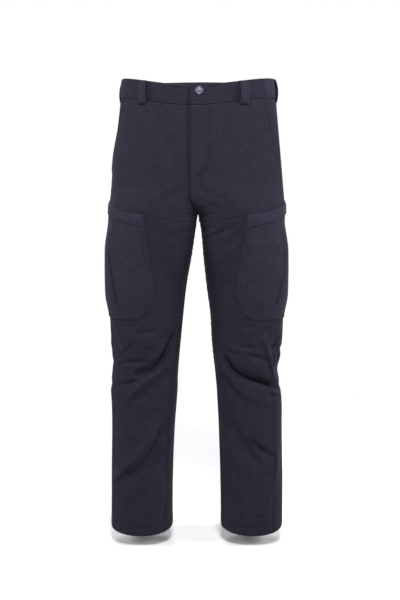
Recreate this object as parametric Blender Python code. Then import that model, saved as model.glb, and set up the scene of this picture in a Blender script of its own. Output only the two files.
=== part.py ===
"""Woven cargo trousers, hollow, in the shape that they have when worn.

The waist is open at the top and each leg at its hem. Sizes below are in millimetres.
+Z is up and the front faces -Y, so the wearer's right side is at -X.
"""
import bmesh
import bpy
import numpy as np

for thing in list(bpy.data.objects):
    bpy.data.objects.remove(thing, do_unlink=True)

MM = 0.001

# Thicknesses of the cloth walls, the gap at each seam, and how far a piece lies over or under another
WALL = 1.6
BAND_WALL = 2.4
HEM_WALL = 2.6
SEAM_GAP = 0.3
HALF_GAP = SEAM_GAP / 2
UNDER_FRONT = 3.0
UNDER_BAND = 3.4
OVER_LEG = 0.8
SIDE_SEAM_CLEAR = 0.4
SIDE_SEAM_SPREAD = 34.0

# Heights of the main lines
BAND_HEIGHT = 44.0
FRONT_DIP = -24.0
BACK_RISE = 9.0
CROTCH = -306.0
FRONT_CURVE_START = -225.0
SEAT_CURVE_START = -150.0
CURVE_OPENS = 1.3
CURVE_CLOSES = 1.5
HEM_SIDE = -1044.0
HEM_FRONT_DROP = 12.0
HEM_BACK_LIFT = 4.0
HEM_DEPTH = 24.0

# Fly and waistband ends, measured along the cloth. A step is where a piece comes up from under another.
FLY_UNDERLAP = 34.0
FLY_END = -218.0
FLY_RUN_OUT = 60.0
FLY_STEP = (5.0, 19.0)
FLY_STEP_ENDS = (-264.0, -232.0)
BAND_UNDERLAP = 38.0
BAND_STEP = (2.0, 18.0)
TAB_CORNER = 8.0
BAND_SEAM_AHEAD = 50.0
BAND_MIDDLE = -20.0

# Hip pockets
MOUTH_WIDTH = 51.0
MOUTH_END = -212.0
MOUTH_CURVE = 0.9
POCKET_TUCK = 16.0
POCKET_STEP = 26.0
POCKET_DEPTH = 14.0

# Cargo pockets and flaps
FLAP_HEIGHT = 27.0
FLAP_FRONT = {"right": -153.0, "left": -160.0}
FLAP_SLANT = 0.12
FLAP_STAND = 1.4
FLAP_OVERHANG = 3.0
FLAP_CAUGHT = 1.0
CARGO_TOP = 12.0
CARGO_BACK = 62.0
CARGO_BOTTOM = {"right": -545.0, "left": -547.0}
CARGO_SWELL = 5.0
PLEAT_DEPTH = 5.0
PLEAT_WIDTH = 9.0

# Belt loops. The table gives where the top and the bottom of each is, along the cloth from the side.
LOOP_COLUMNS = ("name", "side", "top", "bottom")
LOOP_ROWS = (
    ("front_right", -1, -102.0, -111.0),
    ("front_left", 1, -124.0, -130.0),
    ("side_right", -1, 27.0, 26.0),
    ("side_left", 1, -4.0, -6.0),
)
LOOP_WIDTH = 19.0
LOOP_LENGTH = 58.0
LOOP_DROP = 1.5
LOOP_STAND = 6.6
LOOP_BOW = 0.6
LOOP_WALL = 1.8
LOOP_ROWS_DOWN = 9

# Waist button
BUTTON_RADIUS = 9.2
BUTTON_HEIGHT = 3.2
BUTTON_OFF = 0.4
BUTTON_FROM_SIDE = -227.0
BUTTON_LEVEL = -37.0
BUTTON_SIDES = 24
BUTTON_COLUMNS = ("radius", "height")
BUTTON_PROFILE = ((0.0, 0.0), (0.55, 0.0), (1.0, 0.15), (1.0, 0.62), (0.93, 1.0), (0.82, 0.88), (0.45, 0.78),
                  (0.0, 0.75))

# Elastic gathers in the back waistband, either side, and how much of its half they take up
GATHERS = 7
GATHER_HEIGHT = 1.3
GATHERED_SHARE = 0.36

# The outline when worn. Each row gives, at one height, how far each outer side is from the centre,
# half the gap between the legs on each side, and the depth of the front, the sides and the back.
FORM_COLUMNS = ("z", "right", "left", "gap_right", "gap_left", "front", "side", "back")
FORM_ROWS = (
    (20, 174.0, 173.5, 0.2, 0.2, -98, 4, 111),
    (-44, 178.0, 178.5, 0.2, 0.2, -104, 4, 117),
    (-110, 186.0, 184.5, 0.2, 0.2, -110, 4, 131),
    (-180, 197.0, 191.0, 0.2, 0.2, -113, 4, 143),
    (-235, 200.5, 196.0, 0.2, 0.2, -113, 4, 147),
    (-280, 204.5, 199.5, 0.2, 0.2, -111, 4, 142),
    (-306, 206.0, 199.0, 0.2, 0.2, -109, 3, 134),
    (-325, 207.0, 198.5, 1.8, 1.8, -107, 3, 129),
    (-345, 208.0, 199.5, 5.0, 5.5, -106, 2, 124),
    (-400, 209.0, 201.0, 15.0, 12.0, -102, 0, 113),
    (-470, 209.0, 201.0, 27.0, 19.5, -96, -2, 103),
    (-540, 206.5, 198.5, 35.0, 28.5, -90, -4, 92),
    (-600, 204.0, 196.5, 41.0, 32.0, -84, -4, 84),
    (-640, 201.5, 192.0, 44.5, 35.5, -82, -4, 82),
    (-666, 201.5, 186.0, 46.5, 38.5, -80, -3, 80),
    (-690, 204.0, 189.5, 48.0, 41.0, -78, -2, 79),
    (-716, 206.5, 194.0, 48.5, 43.5, -77, 0, 79),
    (-745, 205.0, 197.0, 50.5, 45.0, -75, 0, 80),
    (-800, 204.5, 198.0, 55.0, 48.0, -73, 2, 80),
    (-870, 206.0, 199.5, 58.5, 50.5, -70, 3, 80),
    (-960, 207.0, 201.0, 61.0, 53.0, -67, 4, 78),
    (-1060, 208.5, 200.5, 61.0, 54.0, -64, 5, 75),
)
ROUNDNESS = 2.2
ARC_SAMPLES = 48

# Where the seams run. The centre seams are distances from x = 0; the outseams are distances along the
# cloth from the widest point of the side, and the inseams from the innermost, both with the front
# as minus for the outseam and plus for the inseam.
SEAM_COLUMNS = ("z", "centre_front", "centre_back", "out_right", "out_left", "in_right", "in_left")
SEAM_ROWS = (
    (0, -16.0, 13.0, 14.0, -16.0, 0.0, 0.0),
    (-110, -16.0, 14.0, 4.0, -27.0, 0.0, 0.0),
    (-222, -16.0, 13.0, -11.0, -39.0, 0.0, 0.0),
    (-250, -18.0, 11.0, -15.0, -43.0, 0.0, 0.0),
    (-268, -19.0, 8.0, -18.0, -46.0, 0.0, 0.0),
    (-284, -12.5, 5.0, -20.0, -48.0, 0.0, 0.0),
    (-298, -3.0, 1.0, -21.0, -49.0, 0.0, 0.0),
    (-306, 0.0, 0.0, -22.0, -50.0, 0.0, 0.0),
    (-420, 0.0, 0.0, -28.0, -53.0, 14.0, 5.0),
    (-592, 0.0, 0.0, -34.0, -57.0, 31.0, 12.0),
    (-721, 0.0, 0.0, -36.0, -60.0, 45.0, 20.0),
    (-916, 0.0, 0.0, -38.0, -63.0, 50.0, 25.0),
    (-1060, 0.0, 0.0, -38.0, -60.0, 50.0, 25.0),
)

# The thigh seam, from the inseam (0) to the outseam (1) and on round the back
YOKE_COLUMNS = ("round", "z")
YOKE_ROWS = ((-0.1, -326), (0.0, -326), (0.2, -325), (0.4, -320), (0.55, -310), (0.65, -302), (0.8, -290),
             (1.0, -276), (1.3, -262))

# The cargo pocket's front edge with its cut-off corner, as distances along the cloth from the side
CARGO_COLUMNS = ("z", "right", "left")
CARGO_ROWS = ((-280, -152, -158), (-337, -155, -162), (-490, -167, -175), (-534, -136, -143), (-548, -118, -124))
PLEAT_COLUMNS = ("z", "right", "left")
PLEAT_ROWS = ((-330, -58, -46), (-373, -62, -48), (-451, -72, -63), (-490, -77, -75), (-560, -87, -77))

# Folds. Each runs through three points, given as distance along the cloth from the side (minus is towards
# the front, plus towards the back) and height. Height is minus for a trough and plus for a ridge.
FOLD_COLUMNS = ("side", "g1", "z1", "g2", "z2", "g3", "z3", "height", "width")
FOLD_ROWS = (
    ("right", -222, -560, -176, -624, -110, -666, -9.0, 9.0),
    ("right", -205, -640, -150, -672, -75, -686, 4.0, 13.0),
    ("right", -136, -668, -100, -690, -50, -698, -6.0, 8.0),
    ("right", -60, -650, -100, -643, -138, -643, -4.0, 9.0),
    ("right", -66, -628, -90, -614, -105, -598, -3.5, 8.0),
    ("right", -112, -580, -135, -573, -160, -574, -3.0, 8.0),
    ("right", -188, -662, -150, -700, -88, -736, -6.0, 14.0),
    ("right", -142, -672, -118, -700, -90, -730, 3.5, 9.0),
    ("right", -40, -548, -55, -562, -72, -585, 4.0, 9.0),
    ("right", -160, -790, -120, -855, -45, -930, 6.0, 13.0),
    ("right", -172, -792, -135, -862, -76, -914, -6.0, 14.0),
    ("right", -186, -850, -163, -877, -134, -897, -4.0, 10.0),
    ("right", -40, -855, -46, -875, -58, -898, 3.0, 8.0),
    ("right", -184, -905, -168, -955, -146, -1015, 5.0, 15.0),
    ("right", 40, -640, 105, -672, 190, -650, -7.0, 11.0),
    ("right", 60, -700, 125, -712, 205, -690, -5.0, 12.0),
    ("right", 90, -600, 150, -622, 215, -600, -5.0, 12.0),
    ("right", 70, -355, 150, -375, 270, -350, -4.0, 16.0),
    ("right", 60, -850, 110, -905, 170, -940, -5.0, 15.0),
    ("left", -214, -598, -150, -652, -45, -705, -11.0, 8.5),
    ("left", -240, -588, -165, -655, -55, -732, 5.5, 11.0),
    ("left", -86, -708, -60, -713, -30, -712, -4.5, 7.0),
    ("left", -152, -606, -132, -609, -112, -611, -3.5, 8.0),
    ("left", -125, -627, -88, -634, -50, -662, -5.0, 8.0),
    ("left", -186, -620, -160, -627, -134, -632, -3.5, 7.0),
    ("left", -100, -596, -74, -630, -38, -690, 5.0, 10.0),
    ("left", -46, -586, -58, -600, -74, -616, -6.0, 8.0),
    ("left", -89, -558, -86, -574, -80, -590, -3.0, 7.0),
    ("left", -180, -672, -160, -708, -138, -745, -5.0, 13.0),
    ("left", -166, -785, -138, -834, -92, -890, -5.0, 13.0),
    ("left", -128, -822, -95, -850, -62, -868, -5.0, 11.0),
    ("left", -56, -850, -68, -925, -98, -1012, 5.0, 14.0),
    ("left", -190, -330, -217, -343, -256, -360, -4.0, 9.0),
    ("left", -228, -332, -252, -338, -282, -342, -3.0, 8.0),
    ("left", 40, -650, 110, -668, 195, -640, -7.0, 11.0),
    ("left", 55, -705, 130, -718, 200, -700, -5.0, 12.0),
    ("left", 80, -605, 150, -626, 210, -610, -5.0, 12.0),
    ("left", 70, -350, 150, -372, 265, -352, -4.0, 16.0),
    ("left", 50, -840, 105, -890, 175, -935, -5.0, 15.0),
)
FOLD_STEPS = 10

# How closely each kind of piece is divided
FRONT_ACROSS = (0.0, 0.035, 0.08, 0.15, 0.25, 0.36, 0.47, 0.58, 0.68, 0.77, 0.85, 0.925, 1.0)
BACK_PARTS = 9
CROTCH_PARTS = 8
CARGO_PARTS = 14
CARGO_DOWN = (0.0, 0.1, 0.2, 0.3, 0.42, 0.54, 0.66, 0.75, 0.82, 0.89, 0.95, 1.0)
FLAP_PARTS = 12
FLAP_DOWN = (0.0, 0.25, 0.6, 1.0)
BAND_ACROSS = (0.0, 0.08, 0.16, 0.22, 0.28, 0.4, 0.52, 0.64, 0.76, 0.88, 1.0)
BAND_DOWN = (0.0, 0.05, 0.11, 0.19, 0.6, 1.0)
BACK_BAND_DOWN = (0.0, 0.25, 0.75, 1.0)
SEAT_STEP = 34.0
CALM_STEP = 26.0
LOW_STEP = 21.0
KNEE_STEP = 10.5
BACK_LEG_TOP = -330.0
KNEE_TOP = -558.0
KNEE_BOTTOM = -748.0
LEVEL_REACH = 225.0

CLOTH_COLOUR = (0.030, 0.029, 0.045)
LOOP_COLOUR = (0.024, 0.023, 0.036)
METAL_COLOUR = (0.36, 0.35, 0.42)


def table(columns, rows, name):
    """Heights (or places) and one named column of a table, lowest first."""
    rows = sorted(rows)
    place = columns.index(name)
    return np.array([row[0] for row in rows], float), np.array([row[place] for row in rows], float)


def straight(columns, rows, name, at):
    return np.interp(at, *table(columns, rows, name))


def smooth(columns, rows, name, at):
    """Value of a column at any height, on a smooth curve through its rows."""
    knots, values = table(columns, rows, name)
    at = np.clip(at, knots[0], knots[-1])
    slopes = np.gradient(values, knots)
    place = np.clip(np.searchsorted(knots, at) - 1, 0, len(knots) - 2)
    span = knots[place + 1] - knots[place]
    t = (at - knots[place]) / span
    return (
        (1 + 2 * t) * (1 - t) ** 2 * values[place]
        + t * (1 - t) ** 2 * span * slopes[place]
        + t * t * (3 - 2 * t) * values[place + 1]
        + t * t * (t - 1) * span * slopes[place + 1]
    )


def ease(value, low, high):
    """0 below low, 1 above high, smooth between."""
    t = np.clip((value - low) / (high - low), 0, 1)
    return t * t * (3 - 2 * t)


def side_name(side):
    return "left" if side > 0 else "right"


def outline(angle, wide, deep, middle, side_y):
    """A rounded quarter outline: from the middle's front or back (0) to the outseam (90 degrees)."""
    sine, cosine = np.sin(angle), np.cos(angle)
    x = middle + wide * np.sign(sine) * np.abs(sine) ** (2 / ROUNDNESS)
    y = side_y + deep * np.abs(cosine) ** (2 / ROUNDNESS)
    return x, y


def quarter(side, round_, z):
    """Point of one half of the form: round_ is 0 at the centre front, 1 at the side and 2 at the back."""
    round_, z = np.broadcast_arrays(np.asarray(round_, float), np.asarray(z, float))
    name = side_name(side)
    back = round_ > 1
    outer = smooth(FORM_COLUMNS, FORM_ROWS, name, z)
    gap = smooth(FORM_COLUMNS, FORM_ROWS, "gap_" + name, z)
    side_y = smooth(FORM_COLUMNS, FORM_ROWS, "side", z)
    edge_y = np.where(back, smooth(FORM_COLUMNS, FORM_ROWS, "back", z), smooth(FORM_COLUMNS, FORM_ROWS, "front", z))
    centre_front = straight(SEAM_COLUMNS, SEAM_ROWS, "centre_front", z)
    centre_back = straight(SEAM_COLUMNS, SEAM_ROWS, "centre_back", z)
    centre = np.where(back, centre_back, centre_front) * side
    inner = np.where(z > CROTCH, centre + HALF_GAP, gap)
    start = np.where(back, SEAT_CURVE_START, FRONT_CURVE_START)
    split = 1 - (1 - np.clip((start - z) / (start - CROTCH), 0, 1) ** CURVE_OPENS) ** CURVE_CLOSES
    middle = inner + (outer - inner) * split / (1 + split)
    wide = (outer - inner) / (1 + split)
    first = -np.arcsin(split ** (ROUNDNESS / 2))
    turns = np.linspace(0, 1, ARC_SAMPLES)
    angle = first[..., None] + (np.pi / 2 - first[..., None]) * turns
    x, y = outline(angle, wide[..., None], (edge_y - side_y)[..., None], middle[..., None], side_y[..., None])
    step = np.hypot(np.diff(x), np.diff(y))
    run = np.concatenate([np.zeros(step.shape[:-1] + (1,)), np.cumsum(step, -1)], -1)
    girth = run[..., -1]
    want = (np.where(back, 2 - round_, round_) * girth).ravel()
    run = run.reshape(-1, ARC_SAMPLES)
    i = np.clip((run < want[:, None]).sum(1) - 1, 0, ARC_SAMPLES - 2)
    n = np.arange(len(i))
    t = (want - run[n, i]) / (run[n, i + 1] - run[n, i])
    turned = (turns[i] + t * (turns[i + 1] - turns[i])).reshape(z.shape)
    x, y = outline(first + (np.pi / 2 - first) * turned, wide, edge_y - side_y, middle, side_y)
    return np.stack([side * x, y, z + 0 * x], -1), girth


def girths(side, z):
    """Lengths of the front and the back half outlines at a height."""
    return quarter(side, np.zeros_like(z), z)[1], quarter(side, np.full_like(z, 2.0), z)[1]


def skin(side, round_, z):
    """Smooth form. Below 0 it runs on past the centre front, above 2 past the inseam to the front."""
    round_, z = np.broadcast_arrays(np.asarray(round_, float), np.asarray(z, float))
    point = quarter(side, np.clip(round_, 0, 2), z)[0]
    if (round_ < 0).any():
        own, other = girths(side, z)[0], girths(-side, z)[0]
        past = quarter(-side, np.clip(-round_, 0, 1) * own / other, z)[0]
        point = np.where((round_ < 0)[..., None], past, point)
    if (round_ > 2).any():
        front, back = girths(side, z)
        past = quarter(side, np.clip((round_ - 2) * back / front, 0, 1), z)[0]
        point = np.where((round_ > 2)[..., None], past, point)
    return point


def outward(side, round_, z):
    """Unit normal of the smooth form, out of the garment."""
    low, high = np.where(round_ < 0, -1.0, 0.0), np.where(round_ > 2, 2.5, 2.0)
    across = skin(side, np.minimum(round_ + 0.006, high), z) - skin(side, np.maximum(round_ - 0.006, low), z)
    down = skin(side, round_, z - 0.8) - skin(side, round_, z + 0.8)
    normal = np.cross(across, down) * -side
    return normal / np.linalg.norm(normal, axis=-1, keepdims=True)


def along(side, distance, z):
    """Place round the form of a point some distance along the cloth from the side."""
    front, back = girths(side, z + 0 * distance)
    return 1 + distance / np.where(distance > 0, back, front)


def distance_from_side(side, round_, z):
    front, back = girths(side, z)
    return np.where(round_ > 1, (round_ - 1) * back, (round_ - 1) * front)


def folds(side, round_, z):
    """Height of the folds at a point, from the fold table."""
    total = np.zeros_like(z)
    g = distance_from_side(side, round_, z)
    for row in FOLD_ROWS:
        fold = dict(zip(FOLD_COLUMNS, row))
        if fold["side"] != side_name(side):
            continue
        t = np.linspace(0, 1, FOLD_STEPS + 1)
        path_g = (1 - t) ** 2 * fold["g1"] + t * t * fold["g3"]
        path_z = (1 - t) ** 2 * fold["z1"] + t * t * fold["z3"]
        path_g += 2 * t * (1 - t) * (2 * fold["g2"] - (fold["g1"] + fold["g3"]) / 2)
        path_z += 2 * t * (1 - t) * (2 * fold["z2"] - (fold["z1"] + fold["z3"]) / 2)
        best = np.full(z.shape, 1e9)
        place = np.zeros(z.shape)
        for i in range(FOLD_STEPS):
            run_g, run_z = path_g[i + 1] - path_g[i], path_z[i + 1] - path_z[i]
            part = np.clip(((g - path_g[i]) * run_g + (z - path_z[i]) * run_z) / (run_g**2 + run_z**2), 0, 1)
            gap = np.hypot(g - path_g[i] - part * run_g, z - path_z[i] - part * run_z)
            nearer = gap < best
            best = np.where(nearer, gap, best)
            place = np.where(nearer, (i + part) / FOLD_STEPS, place)
        fade = np.sqrt(np.clip(4 * place * (1 - place), 0.0, 1.0)) * 0.9 + 0.1
        total += fold["height"] * fade * np.exp(-((best / fold["width"]) ** 2))
    return total


def under_cargo(side, round_, z):
    """1 where the cargo pocket or its flap lies on the leg, so that the cloth there stays flat."""
    g = distance_from_side(side, round_, z)
    edge = straight(CARGO_COLUMNS, CARGO_ROWS, side_name(side), z)
    low = CARGO_BOTTOM[side_name(side)]
    near = ease(g, edge - 36, edge - 24) * ease(-g, -CARGO_BACK - 36, -CARGO_BACK - 24)
    return near * ease(z, low - 24, low - 12)


def cloth(side, round_, z, lift=0.0):
    """Point of the folded cloth, moved out by lift."""
    raised = folds(side, round_, z) * (1 - under_cargo(side, round_, z)) + lift
    return skin(side, round_, z) + outward(side, round_, z) * raised[..., None]


def lay(top, bottom, start, end, across, rows, reach=None):
    """Places round the form and heights of a grid between four edges, each edge given as a function.

    Rows are heights. They follow the top and bottom edges where near them, and are level beyond reach.
    """
    rows = np.array(rows, float)
    reach = reach or rows[0] - rows[-1]
    u, height = np.meshgrid(across, rows)
    near_top = np.clip(1 - (rows[0] - height) / reach, 0, 1)
    near_bottom = np.clip(1 - (height - rows[-1]) / reach, 0, 1)
    z = height
    for _ in range(8):
        round_ = start(z) + (end(z) - start(z)) * u
        z = height + (top(round_) - rows[0]) * near_top + (bottom(round_) - rows[-1]) * near_bottom
    return round_, z


def between(top, bottom, down):
    """Heights at given shares of the way from the top to the bottom."""
    return top + (bottom - top) * np.array(down, float)


def material(name, colour, roughness, metallic=0.0):
    made = bpy.data.materials.new(name)
    made.use_nodes = True
    shader = made.node_tree.nodes["Principled BSDF"]
    shader.inputs["Base Color"].default_value = (*colour, 1.0)
    shader.inputs["Roughness"].default_value = roughness
    shader.inputs["Metallic"].default_value = metallic
    return made


def add_object(name, mesh, made):
    mesh.materials.append(made)
    thing = bpy.data.objects.new(name, mesh)
    bpy.context.scene.collection.objects.link(thing)
    return thing


def wall(name, outer, inner, made):
    """A closed wall between two grids of points."""
    rows, columns = outer.shape[:2]
    shell = bmesh.new()
    grids = []
    for points in (outer, inner):
        grids.append([[shell.verts.new(p * MM) for p in row] for row in points])
    for verts in grids:
        for i in range(rows - 1):
            for j in range(columns - 1):
                shell.faces.new((verts[i][j], verts[i][j + 1], verts[i + 1][j + 1], verts[i + 1][j]))
    rim = [(0, j) for j in range(columns)]
    rim += [(i, columns - 1) for i in range(1, rows)]
    rim += [(rows - 1, j) for j in range(columns - 2, -1, -1)]
    rim += [(i, 0) for i in range(rows - 2, 0, -1)]
    for (i, j), (k, m) in zip(rim, rim[1:] + rim[:1]):
        shell.faces.new((grids[0][i][j], grids[0][k][m], grids[1][k][m], grids[1][i][j]))
    bmesh.ops.recalc_face_normals(shell, faces=shell.faces)
    mesh = bpy.data.meshes.new(name)
    shell.to_mesh(mesh)
    shell.free()
    mesh.shade_smooth()
    mesh.set_sharp_from_angle(angle=np.radians(50))
    return add_object(name, mesh, made)


def panel(name, side, round_, z, made, lift=0.0, thick=WALL):
    """One cut piece of cloth: its points on the folded form, moved out by lift, over a plain inner side."""
    lift = lift + np.zeros_like(z)
    outer = cloth(side, round_, z, lift)
    inner = cloth(side, round_, z, lift - thick)
    return wall(name, outer, inner, made)


def rim(round_):
    """Height of the waistband's top edge."""
    front = FRONT_DIP * np.cos(np.clip(round_, 0, 1) * np.pi / 2) ** 2
    back = BACK_RISE * np.sin(np.clip(round_ - 1, 0, 1) * np.pi / 2) ** 2
    return front + back


def waist_seam(round_):
    return rim(round_) - BAND_HEIGHT


def hem(round_):
    around = np.mod(round_, 2)
    front = HEM_FRONT_DROP * np.sin(np.clip(around, 0, 1) * np.pi)
    back = HEM_BACK_LIFT * np.sin(np.clip(around - 1, 0, 1) * np.pi)
    return HEM_SIDE - front + back


def yoke(round_):
    return smooth(YOKE_COLUMNS, YOKE_ROWS, "z", round_)


def seam(column, z):
    return straight(SEAM_COLUMNS, SEAM_ROWS, column, z)


def outseam(side):
    return lambda z: along(side, seam("out_" + side_name(side), z), z)


def inseam(side, girth_index, base):
    """The inseam as a place round the form, seen from the front (base 0) or from the back (base 2)."""
    return lambda z: base + seam("in_" + side_name(side), z) / girths(side, z)[girth_index]


def shifted(side, edge, distance):
    """An edge moved along the cloth, towards the back when distance is plus."""
    return lambda z: edge(z) + distance / girths(side, z)[0]


def lowered(edge, distance):
    return lambda round_: edge(round_) - distance


def level(value):
    """An edge that stays at one height, or one place round the form."""
    return lambda at: value + 0 * at


def behind(side, distance):
    """An edge that keeps one distance along the cloth behind the side."""
    return lambda z: along(side, distance + 0 * z, z)


def crotch_rows(top, start, steps):
    """Heights from the waist to the crotch that close up towards the crotch's tight curve."""
    upper = np.linspace(top, start, max(2, int(round((top - start) / SEAT_STEP)) + 1))
    t = np.linspace(0, 1, steps + 1)[1:]
    return list(upper) + list(start + (CROTCH - start) * (1 - (1 - t) ** 2))


def leg_rows(top, bottom):
    """Heights down a leg, close together at the knee."""
    marks = [top, KNEE_TOP, KNEE_BOTTOM, bottom + HEM_DEPTH, bottom]
    steps = [CALM_STEP, KNEE_STEP, LOW_STEP, HEM_DEPTH / 2]
    rows = [top]
    for high, low, step in zip(marks, marks[1:], steps):
        count = max(1, int(round((high - low) / step)))
        rows += list(np.linspace(high, low, count + 1)[1:])
    return rows


def mouth(z):
    """How far the slanted pocket mouth is in front of the outseam."""
    return MOUTH_WIDTH * np.clip((z - MOUTH_END) / (waist_seam(0.8) - MOUTH_END), 0, 1) ** MOUTH_CURVE


def front_panel(side):
    """Upper front, from the waistband to the thigh seam. It ends at the slanted pocket mouth."""

    def start(z):
        lap = FLY_UNDERLAP * np.sqrt(np.clip((z - FLY_END) / FLY_RUN_OUT, 0, 1)) if side < 0 else 0.0
        return inseam(side, 0, 0)(z) + (HALF_GAP - lap) / girths(side, z)[0]

    def end(z):
        return outseam(side)(z) - (mouth(z) + HALF_GAP) / girths(side, z)[0]

    rows = crotch_rows(waist_seam(0), FRONT_CURVE_START, CROTCH_PARTS) + [(CROTCH + yoke(0)) / 2, yoke(0)]
    top, bottom = lowered(waist_seam, HALF_GAP), lowered(yoke, -HALF_GAP)
    round_, z = lay(top, bottom, start, end, FRONT_ACROSS, rows)
    lift = 0.0 * z
    if side < 0:
        from_fly = round_ * girths(side, z)[0]
        lift = -UNDER_FRONT * (1 - ease(from_fly, *FLY_STEP)) * ease(z, *FLY_STEP_ENDS)
    return panel("front_" + side_name(side), side, round_, z, cloth_material, lift)


def hip_pocket(side):
    """The side panel that shows outside the slanted pocket mouth and is tucked under the front."""

    def start(z):
        return outseam(side)(z) - (mouth(z) + POCKET_TUCK) / girths(side, z)[0]

    low = MOUTH_END - POCKET_DEPTH
    rows = np.linspace(waist_seam(0.8), low, 8)
    end = shifted(side, outseam(side), -HALF_GAP)
    round_, z = lay(lowered(waist_seam, HALF_GAP), level(low), start, end, np.linspace(0, 1, 6), rows)
    from_seam = (outseam(side)(z) - round_) * girths(side, z)[0]
    lift = -UNDER_FRONT * ease(from_seam, mouth(z) - POCKET_STEP, mouth(z))
    return panel("hip_pocket_" + side_name(side), side, round_, z, cloth_material, lift)


def hem_lift(round_, z):
    """How much thicker the turned-up hem is than the plain wall."""
    return (HEM_WALL - WALL) * (1 - ease(z - hem(round_), HEM_DEPTH - 6.0, HEM_DEPTH + 2.0))


def front_leg(side):
    """Front of the leg from the thigh seam to the hem, with its knee folds."""
    start = shifted(side, inseam(side, 0, 0), HALF_GAP)
    end = shifted(side, outseam(side), -HALF_GAP)
    rows = leg_rows(yoke(0), HEM_SIDE)
    round_, z = lay(lowered(yoke, HALF_GAP), hem, start, end, FRONT_ACROSS, rows, LEVEL_REACH)
    return panel("front_leg_" + side_name(side), side, round_, z, cloth_material, 0.0, WALL + hem_lift(round_, z))


def back(side):
    """Back from the waistband to the hem, seat and leg in one piece."""

    def start(z):
        clear = HALF_GAP + SIDE_SEAM_CLEAR * np.exp(-(((z - CROTCH) / SIDE_SEAM_SPREAD) ** 2))
        return outseam(side)(z) + clear / girths(side, z)[0]

    end = shifted(side, inseam(side, 1, 2), -HALF_GAP)
    rows = crotch_rows(waist_seam(2), SEAT_CURVE_START, CROTCH_PARTS) + leg_rows(BACK_LEG_TOP, HEM_SIDE)
    across = np.linspace(0, 1, BACK_PARTS + 1)
    round_, z = lay(lowered(waist_seam, HALF_GAP), hem, start, end, across, rows, LEVEL_REACH)
    return panel("back_" + side_name(side), side, round_, z, cloth_material, 0.0, WALL + hem_lift(round_, z))


def cargo_edge(side):
    return lambda z: along(side, straight(CARGO_COLUMNS, CARGO_ROWS, side_name(side), z), z)


def cargo_pocket(side):
    """Thigh pocket on the outseam, swelled off the leg, with a deep pleat down its side."""
    name = side_name(side)
    low = CARGO_BOTTOM[name]
    across = np.linspace(0, 1, CARGO_PARTS + 1)
    rows = between(yoke(0.8) - CARGO_TOP, low, CARGO_DOWN)
    round_, z = lay(lowered(yoke, CARGO_TOP), level(low), cargo_edge(side), behind(side, CARGO_BACK), across, rows)
    u, v = np.meshgrid(across, CARGO_DOWN)
    g = distance_from_side(side, round_, z)
    pleat = straight(PLEAT_COLUMNS, PLEAT_ROWS, name, z)
    swell = CARGO_SWELL * ease(u, 0.0, 0.25) * ease(1 - u, 0.0, 0.25) * ease(1 - v, 0.0, 0.22) * ease(v, 0.12, 0.4)
    cut = PLEAT_DEPTH * np.exp(-(((g - pleat) / PLEAT_WIDTH) ** 2)) * ease(v, 0.1, 0.3) * ease(1 - v, 0.0, 0.3)
    lift = OVER_LEG + WALL + np.maximum(swell - cut, 0.0)
    return panel("cargo_pocket_" + name, side, round_, z, cloth_material, lift)


def cargo_flap(side):
    """Flap sewn into the thigh seam, lying over the top of the pocket."""
    name = side_name(side)

    def start(z):
        return along(side, FLAP_FRONT[name] + FLAP_SLANT * (yoke(0.55) - z), z)

    across = np.linspace(0, 1, FLAP_PARTS + 1)
    rows = between(yoke(0.8) + FLAP_CAUGHT, yoke(0.8) - FLAP_HEIGHT, FLAP_DOWN)
    end = behind(side, CARGO_BACK + FLAP_OVERHANG)
    round_, z = lay(lowered(yoke, -FLAP_CAUGHT), lowered(yoke, FLAP_HEIGHT), start, end, across, rows)
    v = np.meshgrid(across, FLAP_DOWN)[1]
    lift = OVER_LEG + WALL + (WALL + FLAP_STAND) * ease(v, 0.0, 0.42)
    return panel("cargo_flap_" + name, side, round_, z, cloth_material, lift)


def band_seam(side):
    """Where the front waistband meets the elastic part."""
    return lambda z: outseam(side)(0 * z + BAND_MIDDLE) - BAND_SEAM_AHEAD / girths(side, z)[0]


def front_band(side):
    """Front length of the waistband. The left one ends in the tab, over the right one."""

    def start(z):
        if side < 0:
            return -BAND_UNDERLAP / girths(side, z)[0]
        drop = np.clip(TAB_CORNER - (rim(0) - z), 0, TAB_CORNER)
        return (TAB_CORNER - np.sqrt(TAB_CORNER**2 - drop**2)) / girths(side, z)[0]

    end = shifted(side, band_seam(side), -HALF_GAP)
    rows = between(rim(0), waist_seam(0) + HALF_GAP, BAND_DOWN)
    round_, z = lay(rim, lowered(waist_seam, -HALF_GAP), start, end, BAND_ACROSS, rows)
    lift = 0.0 * z
    if side < 0:
        lift = -UNDER_BAND * (1 - ease(round_ * girths(side, z)[0], *BAND_STEP))
    return panel("waistband_" + side_name(side), side, round_, z, cloth_material, lift, BAND_WALL)


def back_band():
    """Sides and back of the waistband in one length, gathered on elastic at each side."""
    outer, inner = [], []
    for side in (-1, 1):
        gathered = np.linspace(0, GATHERED_SHARE, GATHERS * 3 + 1)
        across = np.concatenate([gathered, np.linspace(GATHERED_SHARE, 1, 8)[1:]])
        rows = between(rim(2), waist_seam(2) + HALF_GAP, BACK_BAND_DOWN)
        start = shifted(side, band_seam(side), HALF_GAP)
        round_, z = lay(rim, lowered(waist_seam, -HALF_GAP), start, level(2.0), across, rows)
        u, v = np.meshgrid(across, BACK_BAND_DOWN)
        wave = 0.5 - 0.5 * np.cos(2 * np.pi * GATHERS * u / GATHERED_SHARE)
        lift = GATHER_HEIGHT * wave * (u < GATHERED_SHARE) * (1 - (2 * v - 1) ** 4)
        order = slice(None) if side < 0 else slice(-2, None, -1)
        outer.append(cloth(side, round_, z, lift)[:, order])
        inner.append(cloth(side, round_, z, 0 * z - BAND_WALL)[:, order])
    return wall("waistband_back", np.concatenate(outer, 1), np.concatenate(inner, 1), cloth_material)


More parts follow.
